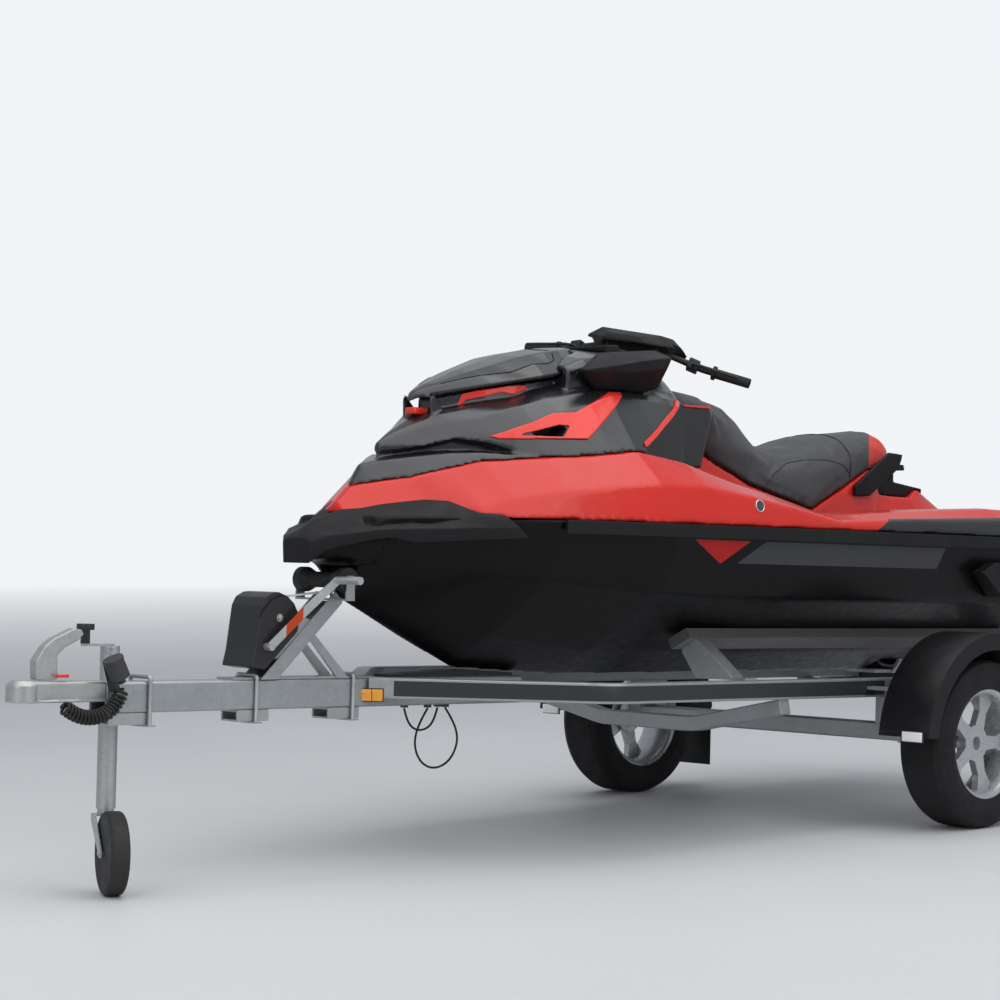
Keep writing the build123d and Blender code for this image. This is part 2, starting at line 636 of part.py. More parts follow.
with BuildPart() as red_trims:
    add(slab([at(*p) for p in RING_OUTLINE], -460, 460))
    add(slab(vent_side, -460, 460), mode=Mode.SUBTRACT)
    add(slab_pair(strip_side, KNEE_INNER_Y, 460))
    add(ribs(cowl_sections, grow=TRIM_T), mode=Mode.INTERSECT)
    add(ribs(cowl_sections, grow=SEAM), mode=Mode.SUBTRACT)
    add(bands.part)
    add(hood_body(SWING_GAP), mode=Mode.SUBTRACT)
    add(slab_pair(piping_side, CHEEK_Y[1] + SEAM, CHEEK_Y[1] + TRIM_T))
store(red_trims, "red_trims")

with BuildPart() as seat:
    add(ribs(seat_sections))
    # the tongue at its front carries the hinge pin
    add(slab([at(1790, 950), at(lid_st + 5, lid_h - 6), at(lid_st + 5, lid_h + 6), at(1790, 976)],
             LUG_GAP + 1 - SEAT_LUG_Y, SEAT_LUG_Y - LUG_GAP - 1))
    with BuildSketch(Plane.XZ.offset(-SEAT_LUG_Y - LUG_T)):
        with Locations(at(*SEAT_HINGE)):
            Circle(PIN_R)
    extrude(amount=2 * (SEAT_LUG_Y + LUG_T))
store(seat, "seat")

# Grab handle: an arm either side of the seat's tail, a bar across behind it and the console below
arm_side = [at(883, 675), at(790, 737), at(684, 804), at(606, 800), at(629, 747), at(720, 690), at(800, 640),
            at(883, 640)]
console_side = [at(697, 600), at(697, 734), at(662, 734), at(640, 708), at(405, 682), at(405, 600)]
bar_side = [at(574, 742), at(632, 742), at(632, 762), at(580, 764)]
upright_side = [at(578, 690), at(612, 690), at(612, 750), at(578, 750)]
ARM_INNER_Y = 196.0
ARM_T = 16.0
CONSOLE_HALF = 150.0
with BuildPart() as grab_handle:
    add(slab(console_side, -CONSOLE_HALF, CONSOLE_HALF))
    add(slab_pair(upright_side, CONSOLE_HALF - 34, CONSOLE_HALF))
    add(slab(bar_side, -ARM_INNER_Y - 1, ARM_INNER_Y + 1))
    add(slab_pair(arm_side, ARM_INNER_Y, ARM_INNER_Y + ARM_T))
    add(slab_pair([at(883, 640), at(883, 664), at(800, 664), at(800, 640)], 180, ARM_INNER_Y + 1))
    add(ribs(pedestal_sections, grow=SEAM), mode=Mode.SUBTRACT)
    add(ribs(tail_sections, grow=SEAM), mode=Mode.SUBTRACT)
store(grab_handle, "grab_handle")

MAT_T = 4.0
MAT_EDGE = 12.0
well_mat = [at(820, FOOTWELL_H), at(1780, FOOTWELL_H), at(1780, FOOTWELL_H + MAT_T), at(820, FOOTWELL_H + MAT_T)]
deck_mat = [at(10, PLATFORM_H), at(225, PLATFORM_H), at(225, PLATFORM_H + MAT_T), at(10, PLATFORM_H + MAT_T)]
with BuildPart() as deck_mats:
    add(slab_pair(well_mat, FOOTWELL_INNER_Y + MAT_EDGE, FOOTWELL_OUTER_Y - MAT_EDGE))
    add(slab(deck_mat, MAT_EDGE - FOOTWELL_OUTER_Y, FOOTWELL_OUTER_Y - MAT_EDGE))
store(deck_mats, "deck_mats")

# Sponsons on the hull's sides near the stern
sponson_side = [at(120, 285), at(560, 285), at(680, 372), at(600, 410), at(120, 400)]
with BuildPart() as sponsons:
    add(slab_pair(sponson_side, 500, 628))
    add(ribs(hull_sections, grow=SEAM), mode=Mode.SUBTRACT)
store(sponsons, "sponsons")

# Ride plate: a trough that closes the pump tunnel from below. Columns: y and height
RIDE_PLATE_HALF = (
    (0, -10), (DUCT_R - 18, -10), (TUNNEL_R - SEAM, PUMP_H - 68), (TUNNEL_R - SEAM, PUMP_H - 54),
    (DUCT_R + 6, PUMP_H - 54), (DUCT_R - 22, -3), (0, -3),
)
GRATE_ST = 462.0
with BuildPart() as ride_plate:
    with BuildSketch(Plane.YZ.offset(TRANSOM_X)):
        with BuildLine():
            Polyline(*[(y, KEEL_Z + h) for y, h in mirrored(RIDE_PLATE_HALF)], close=True)
        make_face()
    extrude(amount=GRATE_ST)
store(ride_plate, "ride_plate")

GRATE_TINES = 3
with BuildPart() as intake_grate:
    with BuildSketch(Plane.XY.offset(KEEL_Z - 9)):
        with Locations((TRANSOM_X + (GRATE_ST + TUNNEL_LENGTH) / 2, 0)):
            Rectangle(TUNNEL_LENGTH - GRATE_ST - SEAM, 140)
            with GridLocations(0, 44, 1, GRATE_TINES):
                SlotOverall(82, 32, mode=Mode.SUBTRACT)
    extrude(amount=12)
store(intake_grate, "intake_grate")

# Jet pump: a duct with stator vanes, a cone down to the outlet and two arms for the gate
pump_axis_z = KEEL_Z + PUMP_H
duct_plane = Plane.YZ.offset(TRANSOM_X + DUCT_ST)
outlet_plane = Plane.YZ.offset(TRANSOM_X + 2)
with BuildPart() as pump_housing:
    with BuildSketch(duct_plane):
        with Locations((0, pump_axis_z)):
            Circle(DUCT_R)
            Circle(PUMP_BORE_R, mode=Mode.SUBTRACT)
    extrude(amount=DUCT_LENGTH)
    for bore_step, loft_mode in ((PUMP_WALL, Mode.ADD), (0, Mode.SUBTRACT)):
        with BuildSketch(duct_plane):
            with Locations((0, pump_axis_z)):
                Circle(PUMP_BORE_R + bore_step)
        with BuildSketch(outlet_plane):
            with Locations((0, pump_axis_z)):
                Circle(OUTLET_R + bore_step)
        loft(mode=loft_mode)
    with BuildSketch(duct_plane):
        with Locations((0, pump_axis_z)):
            with PolarLocations((HUB_R + PUMP_BORE_R) / 2, STATOR_VANES):
                Rectangle(PUMP_BORE_R - HUB_R + 6, VANE_T)
            Circle(HUB_R)
    extrude(amount=STATOR_LENGTH)
    with BuildSketch(duct_plane.offset(STATOR_LENGTH / 2)):
        with Locations((0, pump_axis_z)):
            Circle(SHAFT_R + FIT)
    extrude(amount=STATOR_LENGTH, mode=Mode.SUBTRACT)
    # saddle under the tunnel's roof
    with BuildSketch(Plane.YZ.offset(TRANSOM_X + 300)):
        with Locations((0, pump_axis_z)):
            Circle(TUNNEL_R - SEAM / 2)
            Circle(PUMP_BORE_R + PUMP_WALL / 2, mode=Mode.SUBTRACT)
        with Locations((0, pump_axis_z + TUNNEL_R - 40)):
            Rectangle(120, 80, mode=Mode.INTERSECT)
    extrude(amount=80)
    # ears above and below the nozzle, and the gate's arms
    for z_ear in (pump_axis_z + EAR_Z, pump_axis_z - EAR_Z - EAR_T):
        with BuildSketch(Plane.XY.offset(z_ear)):
            with Locations((TRANSOM_X + 1, 0)):
                Rectangle(74, 24)
            with Locations((TRANSOM_X + NOZZLE_PIVOT_ST, 0)):
                Circle(5.5, mode=Mode.SUBTRACT)
        extrude(amount=EAR_T)
    arm_side = [at(GATE_PIVOT_ST - 12, PUMP_H - 10), at(70, PUMP_H - 10), at(70, PUMP_H + 10),
                at(GATE_PIVOT_ST - 12, PUMP_H + 10)]
    add([slab(arm_side, GATE_ARM_Y, GATE_ARM_Y + 6), slab(arm_side, -GATE_ARM_Y - 6, -GATE_ARM_Y)])
    with BuildSketch(Plane.XZ.offset(-GATE_ARM_Y - 10)):
        with Locations(at(GATE_PIVOT_ST, PUMP_H)):
            Circle(6.5)
    extrude(amount=2 * GATE_ARM_Y + 20, mode=Mode.SUBTRACT)
store(pump_housing, "pump_housing")

impeller_plane = Plane.YZ.offset(TRANSOM_X + 190)
with BuildPart() as impeller:
    with BuildSketch(impeller_plane):
        with Locations((0, KEEL_Z + PUMP_H)):
            Circle(HUB_R)
    extrude(amount=110)
    with BuildSketch(impeller_plane):
        with Locations((0, KEEL_Z + PUMP_H)):
            Circle(SHAFT_R)
    extrude(amount=-80)
    with BuildSketch(impeller_plane.offset(110)):
        with Locations((0, KEEL_Z + PUMP_H)):
            Circle(SHAFT_R)
    extrude(amount=ENGINE_CENTRE_ST - engine_length / 2 - BAY_MARGIN - 300)
    for blade in range(IMPELLER_BLADES):
        turn = blade * 360 / IMPELLER_BLADES
        with BuildSketch(impeller_plane.offset(12)):
            with Locations(Location((0, KEEL_Z + PUMP_H), turn)):
                with Locations((IMPELLER_R / 2 + 6, 0)):
                    Rectangle(IMPELLER_R - 14, 8)
        with BuildSketch(impeller_plane.offset(90)):
            with Locations(Location((0, KEEL_Z + PUMP_H), turn + 52)):
                with Locations((IMPELLER_R / 2 + 6, 0)):
                    Rectangle(IMPELLER_R - 14, 5)
        loft()
store(impeller, "impeller")

nozzle_x, nozzle_z = at(NOZZLE_PIVOT_ST, PUMP_H)
nozzle_turn = radians(BAR_TURN * NOZZLE_RATIO)
# The nozzle swings with the bars about an upright pin; its outlet faces aft, to port at rest
nozzle_frame = Plane(origin=(nozzle_x, 0, nozzle_z), x_dir=(0, 0, 1),
                     z_dir=(-cos(nozzle_turn), sin(nozzle_turn), 0))
with BuildPart() as steering_nozzle:
    for wall, loft_mode in ((4, Mode.ADD), (0, Mode.SUBTRACT)):
        with BuildSketch(nozzle_frame.offset(2)):
            Circle(OUTLET_R + 3 + wall)
        with BuildSketch(nozzle_frame.offset(NOZZLE_LENGTH)):
            Circle(NOZZLE_OUT_R + wall)
        loft(mode=loft_mode)
    with BuildSketch(Plane.XY.offset(nozzle_z - EAR_Z - EAR_T)):
        with Locations((nozzle_x, 0)):
            Circle(5)
    extrude(amount=EAR_T + 12)
    with BuildSketch(Plane.XY.offset(nozzle_z + EAR_Z - 12)):
        with Locations((nozzle_x, 0)):
            Circle(5)
    extrude(amount=EAR_T + 12)
store(steering_nozzle, "steering_nozzle")

# Reverse gate, parked up over the nozzle and hung on the pump's two arms
gate_side = [at(GATE_PIVOT_ST + 12, PUMP_H + GATE_RADIUS + GATE_T), at(GATE_PIVOT_ST + 12, PUMP_H - 12),
             at(GATE_PIVOT_ST - 12, PUMP_H - 12), at(GATE_PIVOT_ST - 112, PUMP_H + GATE_RADIUS - 20),
             at(GATE_PIVOT_ST - 112, PUMP_H + GATE_RADIUS + GATE_T)]
gate_roof = [at(GATE_PIVOT_ST + 12, PUMP_H + GATE_RADIUS), at(GATE_PIVOT_ST - 112, PUMP_H + GATE_RADIUS),
             at(GATE_PIVOT_ST - 112, PUMP_H + GATE_RADIUS + GATE_T),
             at(GATE_PIVOT_ST + 12, PUMP_H + GATE_RADIUS + GATE_T)]
gate_y = GATE_ARM_Y + 11
with BuildPart() as reverse_gate:
    add(slab(gate_roof, -gate_y - GATE_T, gate_y + GATE_T))
    add([slab(gate_side, gate_y, gate_y + GATE_T), slab(gate_side, -gate_y - GATE_T, -gate_y)])
    for side in (1, -1):
        with BuildSketch(Plane.XZ.offset(-side * (gate_y + GATE_T))):
            with Locations(at(GATE_PIVOT_ST, PUMP_H)):
                Circle(6)
        extrude(amount=side * (GATE_T + 19))
store(reverse_gate, "reverse_gate")

# Bars, drawn straight ahead in their own frame and then turned
BAR_TIP = (-62, BAR_HALF, -6)
BAR_ELBOW = (-37, 245, 6)
BAR_MIDDLE = (0, 120, 26)
CLAMP_Y = 104.0
bar_path = [
    (x, side * y, z) for side, x, y, z in (
        (-1, *BAR_TIP), (-1, *BAR_ELBOW), (-1, *BAR_MIDDLE), (1, *BAR_MIDDLE), (1, *BAR_ELBOW), (1, *BAR_TIP))
]
with BuildPart() as handlebar_straight:
    with BuildLine():
        FilletPolyline(*bar_path, radius=40)
    with BuildSketch(Plane(origin=bar_path[0], z_dir=(Vector(bar_path[1]) - Vector(bar_path[0])))):
        Circle(BAR_R)
    sweep()
    with BuildSketch(Plane.XY.offset(-STEM_DEPTH + 4)):
        Circle(STEM_R)
    extrude(amount=STEM_DEPTH + 6)
    with BuildSketch(Plane.XY.offset(4)):
        RectangleRounded(70, 190, 16)
    extrude(amount=34)
    # clamps of the bars
    for side in (1, -1):
        with Locations((0, side * CLAMP_Y, BAR_MIDDLE[2])):
            Box(40, 16, 40)
with BuildPart() as handlebar:
    add(bar_frame.location * handlebar_straight.part)
store(handlebar, "handlebar")

# Columns: distance ahead, half width, underside, top
BAR_COVER_RIBS = (
    (130, 74, -2, 22),
    (70, 150, 20, 62),
    (0, 175, 40, 84),
    (-56, 172, 44, 76),
    (-86, 128, 46, 66),
)
with BuildPart() as cover_straight:
    for x_rib, half_w, under, top in BAR_COVER_RIBS:
        with BuildSketch(Plane.YZ.offset(x_rib)):
            with BuildLine():
                Polyline((-half_w, under), (half_w, under), (half_w, under + 8), (0.72 * half_w, top),
                         (-0.72 * half_w, top), (-half_w, under + 8), close=True)
            make_face()
    loft(ruled=True)
    with Locations((-8, 0, 6)):
        Box(98, 400, 88, mode=Mode.SUBTRACT)
with BuildPart() as handlebar_cover:
    add(bar_frame.location * cover_straight.part)
store(handlebar_cover, "handlebar_cover")

GRIP_L = 122.0
COLLAR_R = 24.0
BAR_CLEAR = 0.3
with BuildPart() as grips_straight:
    for side in (1, -1):
        tip = Vector(BAR_TIP[0], side * BAR_TIP[1], BAR_TIP[2])
        root = Vector(BAR_ELBOW[0], side * BAR_ELBOW[1], BAR_ELBOW[2])
        along = (root - tip).normalized()
        with BuildSketch(Plane(origin=tip - along * 6, z_dir=along)):
            Circle(GRIP_R)
            Circle(BAR_R + BAR_CLEAR, mode=Mode.SUBTRACT)
        extrude(amount=GRIP_L)
        with BuildSketch(Plane(origin=tip + along * (GRIP_L - 6), z_dir=along)):
            Circle(COLLAR_R)
            Circle(BAR_R + BAR_CLEAR, mode=Mode.SUBTRACT)
        extrude(amount=10)
with BuildPart() as grips:
    add(bar_frame.location * grips_straight.part)
store(grips, "grips")

# Control housings inboard of the grips, each with its lever in front of the grip
HOUSING = (46.0, 42.0, 38.0)
LEVER_PATH = ((-12, 214, 8), (20, 238, -2), (0, 388, -18))
with BuildPart() as controls_straight:
    for side in (1, -1):
        elbow = Vector(BAR_ELBOW[0], side * BAR_ELBOW[1], BAR_ELBOW[2])
        inner = Vector(BAR_MIDDLE[0], side * BAR_MIDDLE[1], BAR_MIDDLE[2])
        along = (inner - elbow).normalized()
        with BuildSketch(Plane(origin=elbow + along * 16, x_dir=(1, 0, 0), z_dir=along)):
            RectangleRounded(HOUSING[0], HOUSING[1], 10)
        extrude(amount=HOUSING[2])
        with BuildLine():
            FilletPolyline(*[(x, side * y, z) for x, y, z in LEVER_PATH], radius=20)
        with BuildSketch(Plane(origin=(LEVER_PATH[0][0], side * LEVER_PATH[0][1], LEVER_PATH[0][2]),
                               z_dir=(LEVER_PATH[1][0] - LEVER_PATH[0][0],
                                      side * (LEVER_PATH[1][1] - LEVER_PATH[0][1]),
                                      LEVER_PATH[1][2] - LEVER_PATH[0][2]))):
            Circle(6)
        sweep()
        with BuildSketch(Plane(origin=elbow - along * 10, z_dir=along)):
            Circle(BAR_R + BAR_CLEAR)
        extrude(amount=HOUSING[2] + 40, mode=Mode.SUBTRACT)
with BuildPart() as controls:
    add(bar_frame.location * controls_straight.part)
store(controls, "controls")

# Trailer frame
rail_outline = [(2080, 34), (1560, RAIL_Y), (-REAR_REACH + 30, RAIL_Y)]
with BuildPart() as side_rails:
    for side in (1, -1):
        rail_points = [Vector(AXLE_X + x, side * y, RAIL_TOP - RAIL_H / 2) for x, y in rail_outline]
        with BuildLine():
            FilletPolyline(*rail_points, radius=160)
        with BuildSketch(Plane(origin=rail_points[0], x_dir=(0, 0, 1), z_dir=rail_points[1] - rail_points[0])):
            Rectangle(RAIL_H, RAIL_W)
        sweep()
    with Locations((AXLE_X + DRAWBAR_FRONT / 2, 0, RAIL_TOP)):
        Box(DRAWBAR_FRONT, DRAWBAR_W + 2 * SEAM, 4 * RAIL_H, mode=Mode.SUBTRACT)
store(side_rails, "side_rails")

with BuildPart() as drawbar:
    with BuildSketch(Plane.YZ.offset(AXLE_X + DRAWBAR_REAR)):
        with Locations((0, DRAWBAR_TOP - DRAWBAR_H / 2)):
            RectangleRounded(DRAWBAR_W, DRAWBAR_H, 8)
            RectangleRounded(DRAWBAR_W - 2 * DRAWBAR_WALL, DRAWBAR_H - 2 * DRAWBAR_WALL, 4, mode=Mode.SUBTRACT)
    extrude(amount=DRAWBAR_FRONT - DRAWBAR_REAR)
store(drawbar, "drawbar")


# Coupling head: a sleeve on the drawbar's end that widens to the ball cup
NOSE = FRONT_REACH + 9.0
CUP_X = NOSE - 46.0
CUP_BASE_Z = 443.0
CUP_H = 62.0
CUP_R = 46.0
DOME_H = 14.0
BALL_R = 25.0
SOCKET_DEPTH = 47.0
ROOF_RISE = 8.0
SLEEVE_END = 3225.0
cup_middle = CUP_BASE_Z + CUP_H / 2
with BuildPart() as coupling_head:
    with BuildSketch(Plane.YZ.offset(AXLE_X + DRAWBAR_FRONT)):
        with Locations((0, cup_middle)):
            RectangleRounded(76, CUP_H - 6, 10)
    extrude(amount=SLEEVE_END - DRAWBAR_FRONT)
    with BuildSketch(Plane.YZ.offset(AXLE_X + SLEEVE_END)):
        with Locations((0, cup_middle)):
            RectangleRounded(76, CUP_H - 6, 10)
    with BuildSketch(Plane.YZ.offset(AXLE_X + CUP_X)):
        with Locations((0, cup_middle)):
            RectangleRounded(84, CUP_H - 2, 14)
    loft()
    with BuildSketch(Plane.XY.offset(CUP_BASE_Z)):
        with Locations((AXLE_X + CUP_X, 0)):
            Circle(CUP_R)
        with Locations((AXLE_X + (DRAWBAR_FRONT + CUP_X) / 2, 0)):
            Rectangle(CUP_X - DRAWBAR_FRONT, 87)
    extrude(amount=6)
    with BuildSketch(Plane.XY.offset(CUP_BASE_Z)):
        with Locations((AXLE_X + CUP_X, 0)):
            Circle(CUP_R)
    extrude(amount=CUP_H - DOME_H)
    with Locations((AXLE_X + CUP_X, 0, CUP_BASE_Z + CUP_H - DOME_H / 2)):
        Cone(CUP_R, CUP_R - DOME_H, DOME_H)
    # the ball's socket, with a coned roof
    with BuildSketch(Plane.XY.offset(CUP_BASE_Z - 1)):
        with Locations((AXLE_X + CUP_X, 0)):
            Circle(BALL_R + FIT)
    extrude(amount=SOCKET_DEPTH + 1, mode=Mode.SUBTRACT)
    with Locations((AXLE_X + CUP_X, 0, CUP_BASE_Z + SOCKET_DEPTH + ROOF_RISE / 2)):
        Cone(BALL_R + FIT, BALL_R - 2 * ROOF_RISE, ROOF_RISE, mode=Mode.SUBTRACT)
store(coupling_head, "coupling_head")

# The lever's outline. Columns: distance ahead of the axle and height
LEVER_OUTLINE = (
    (3296, 506), (3298, 557), (3287, 574), (3268, 599), (3239, 620), (3171, 648), (3146, 644), (3139, 632),
    (3156, 616), (3201, 595), (3227, 573), (3225, 506),
)
with BuildPart() as coupling_lever:
    add(slab([ahead(*p) for p in LEVER_OUTLINE], -16, 16))
store(coupling_lever, "coupling_lever")

# Jockey wheel on the drawbar's starboard side
CLAMP_Z = 430.0
CLAMP_H = 58.0
CLAMP_WALL = 8.0
with BuildPart() as jockey_clamp:
    with BuildSketch(Plane.XY.offset(CLAMP_Z)):
        with Locations((JOCKEY_X, JOCKEY_Y)):
            Circle(JOCKEY_TUBE_R + CLAMP_WALL)
        with Locations((JOCKEY_X, (JOCKEY_Y - DRAWBAR_W / 2) / 2)):
            Rectangle(44, abs(JOCKEY_Y) - DRAWBAR_W / 2)
        with Locations((JOCKEY_X, JOCKEY_Y)):
            Circle(JOCKEY_TUBE_R + BAR_CLEAR, mode=Mode.SUBTRACT)
    extrude(amount=CLAMP_H)
    # the screw and its cross handle
    with BuildSketch(Plane.YZ.offset(JOCKEY_X + JOCKEY_TUBE_R + CLAMP_WALL - 2)):
        with Locations((JOCKEY_Y, CLAMP_Z + CLAMP_H - 14)):
            Circle(6)
    extrude(amount=36)
    with BuildSketch(Plane.XZ.offset(-JOCKEY_Y - 32)):
        with Locations((JOCKEY_X + JOCKEY_TUBE_R + CLAMP_WALL + 34, CLAMP_Z + CLAMP_H - 14)):
            Circle(5)
    extrude(amount=64)
store(jockey_clamp, "jockey_clamp")

with BuildPart() as jockey_tube:
    with BuildSketch(Plane.XY.offset(JOCKEY_TUBE_BOTTOM)):
        with Locations((JOCKEY_X, JOCKEY_Y)):
            Circle(JOCKEY_TUBE_R)
            Circle(JOCKEY_LEG_R + FIT, mode=Mode.SUBTRACT)
    extrude(amount=JOCKEY_TUBE_TOP - JOCKEY_TUBE_BOTTOM)
store(jockey_tube, "jockey_tube")

CAP_H = 10.0
CRANK_REACH = 88.0
ARM_PLATE_T = 6.0
KNOB_STEM = (13.5, 40.0)
KNOB_HEAD = (25.5, 17.0)
knob_z = JOCKEY_TUBE_TOP + CAP_H + ARM_PLATE_T
with BuildPart() as jockey_crank:
    with BuildSketch(Plane.XY.offset(JOCKEY_TUBE_TOP)):
        with Locations((JOCKEY_X, JOCKEY_Y)):
            Circle(JOCKEY_TUBE_R)
    extrude(amount=CAP_H)
    with BuildSketch(Plane.XY.offset(JOCKEY_TUBE_TOP + CAP_H)):
        with Locations((JOCKEY_X + CRANK_REACH / 2, JOCKEY_Y)):
            SlotOverall(CRANK_REACH + 24, 24)
    extrude(amount=ARM_PLATE_T)
    for base_z, (radius, height) in ((knob_z, KNOB_STEM), (knob_z + KNOB_STEM[1], KNOB_HEAD)):
        with BuildSketch(Plane.XY.offset(base_z)):
            with Locations((JOCKEY_X + CRANK_REACH, JOCKEY_Y)):
                Circle(radius)
        extrude(amount=height)
store(jockey_crank, "jockey_crank")

# The fork's wheel sits where the tipped trailer puts its tread on the floor
trail_x = JOCKEY_TRAIL * cos(radians(JOCKEY_HEADING))
trail_y = JOCKEY_TRAIL * sin(radians(JOCKEY_HEADING))
wheel_x = JOCKEY_X + trail_x
wheel_y = JOCKEY_Y + trail_y
tip_sin, tip_cos = sin(radians(NOSE_UP)), cos(radians(NOSE_UP))
wheel_z = HUB_Z + (JOCKEY_R - HUB_Z - (wheel_x - AXLE_X) * tip_sin) / tip_cos
CROWN_T = 4.0
CROWN_Z = wheel_z + 98.0
SWIVEL_R = 12.0
SWIVEL_L = JOCKEY_TUBE_BOTTOM - CROWN_Z - 5.0

with BuildPart() as jockey_leg:
    with BuildSketch(Plane.XY.offset(CROWN_Z + CROWN_T + 1)):
        with Locations((JOCKEY_X, JOCKEY_Y)):
            Circle(JOCKEY_LEG_R)
            Circle(SWIVEL_R + FIT, mode=Mode.SUBTRACT)
    extrude(amount=300)
store(jockey_leg, "jockey_leg")

heading_frame = Plane(origin=(JOCKEY_X, JOCKEY_Y, 0), x_dir=(trail_x, trail_y, 0), z_dir=(0, 0, 1))
FORK_T = 4.0
FORK_GAP = 5.0
AXLE_R = 6.0
fork_y = JOCKEY_W / 2 + FORK_GAP
blade_side = [(-26, CROWN_Z + CROWN_T), (28, CROWN_Z + CROWN_T), (JOCKEY_TRAIL + 12, wheel_z + 8),
              (JOCKEY_TRAIL + 10, wheel_z - 12), (JOCKEY_TRAIL - 12, wheel_z - 12), (-26, CROWN_Z - 16)]
with BuildPart() as jockey_fork:
    with BuildSketch(heading_frame.offset(CROWN_Z)):
        with Locations((1, 0)):
            Rectangle(54, 2 * (fork_y + FORK_T))
    extrude(amount=CROWN_T)
    for side in (1, -1):
        with BuildSketch(Plane(origin=heading_frame.from_local_coords((0, side * (fork_y + FORK_T / 2), 0)),
                               x_dir=heading_frame.x_dir, z_dir=-heading_frame.y_dir)):
            with BuildLine():
                Polyline(*blade_side, close=True)
            make_face()
        extrude(amount=FORK_T / 2, both=True)
    with BuildSketch(heading_frame.offset(CROWN_Z)):
        Circle(SWIVEL_R)
    extrude(amount=SWIVEL_L)
    with BuildSketch(Plane(origin=heading_frame.from_local_coords((JOCKEY_TRAIL, 0, wheel_z)),
                           x_dir=heading_frame.x_dir, z_dir=-heading_frame.y_dir)):
        Circle(AXLE_R)
    extrude(amount=fork_y + FORK_T + 6, both=True)
store(jockey_fork, "jockey_fork")

with BuildPart() as jockey_wheel:
    with BuildSketch(Plane(origin=heading_frame.from_local_coords((JOCKEY_TRAIL, 0, wheel_z)),
                           x_dir=heading_frame.x_dir, z_dir=heading_frame.y_dir)):
        Circle(JOCKEY_R)
        Circle(AXLE_R + FIT, mode=Mode.SUBTRACT)
    extrude(amount=JOCKEY_W / 2, both=True)
    fillet(jockey_wheel.edges().filter_by(GeomType.CIRCLE).group_by(SortBy.RADIUS)[-1], 12)
store(jockey_wheel, "jockey_wheel")

# Cross beams
with BuildPart() as cross_beams:
    with BuildLine(Plane.YZ.offset(AXLE_X + 750)):
        FilletPolyline((-RAIL_Y - 20, 413), (-210, 334), (210, 334), (RAIL_Y + 20, 413), radius=300)
    with BuildSketch(Plane(origin=(AXLE_X + 750, -RAIL_Y - 20, 413), x_dir=(1, 0, 0),
                           z_dir=Vector(0, RAIL_Y + 20 - 210, 334 - 413))):
        Rectangle(50, 50)
    sweep()
    split(bisect_by=Plane.XY.offset(RAIL_TOP - RAIL_H), keep=Keep.BOTTOM)
    with BuildSketch(Plane.XZ.offset(-RAIL_Y - 24)):
        with Locations((AXLE_X - 800, RAIL_TOP - RAIL_H - 25)):
            Rectangle(50, 50)
    extrude(amount=2 * (RAIL_Y + 24))
store(cross_beams, "cross_beams")

with BuildPart() as axle_beam:
    with BuildSketch(Plane.XZ.offset(-AXLE_HALF)):
        with Locations((AXLE_X + AXLE_TUBE_DX, AXLE_TUBE_Z)):
            RectangleRounded(AXLE_TUBE, AXLE_TUBE, 8)
    extrude(amount=2 * AXLE_HALF)
    for side in (1, -1):
        with BuildSketch(Plane.XY.offset(AXLE_TUBE_Z + AXLE_TUBE / 2 - 2)):
            with Locations((AXLE_X + AXLE_TUBE_DX, side * RAIL_Y)):
                Rectangle(150, RAIL_W)
        extrude(amount=RAIL_TOP - RAIL_H - AXLE_TUBE_Z - AXLE_TUBE / 2 + 2)
store(axle_beam, "axle_beam")

# Trailing arms from the axle tube's ends to the stub axles
ARM_Y = AXLE_HALF
TRAIL_ARM_T = 30.0
wheel_centre_y = TRACK / 2
with BuildPart() as suspension_arms:
    for side in (1, -1):
        y_from, y_to = sorted((side * ARM_Y, side * (ARM_Y + TRAIL_ARM_T)))
        add(slab([(AXLE_X + AXLE_TUBE_DX + 34, AXLE_TUBE_Z + 34), (AXLE_X + AXLE_TUBE_DX + 34, AXLE_TUBE_Z - 34),
                  (AXLE_X - 32, HUB_Z - 32), (AXLE_X - 32, HUB_Z + 32)], y_from, y_to))
        with BuildSketch(Plane.XZ.offset(-side * (ARM_Y + TRAIL_ARM_T))):
            with Locations((AXLE_X, HUB_Z)):
                Circle(STUB_R)
        extrude(amount=-side * (wheel_centre_y + STUB_REACH - ARM_Y - TRAIL_ARM_T))
store(suspension_arms, "suspension_arms")

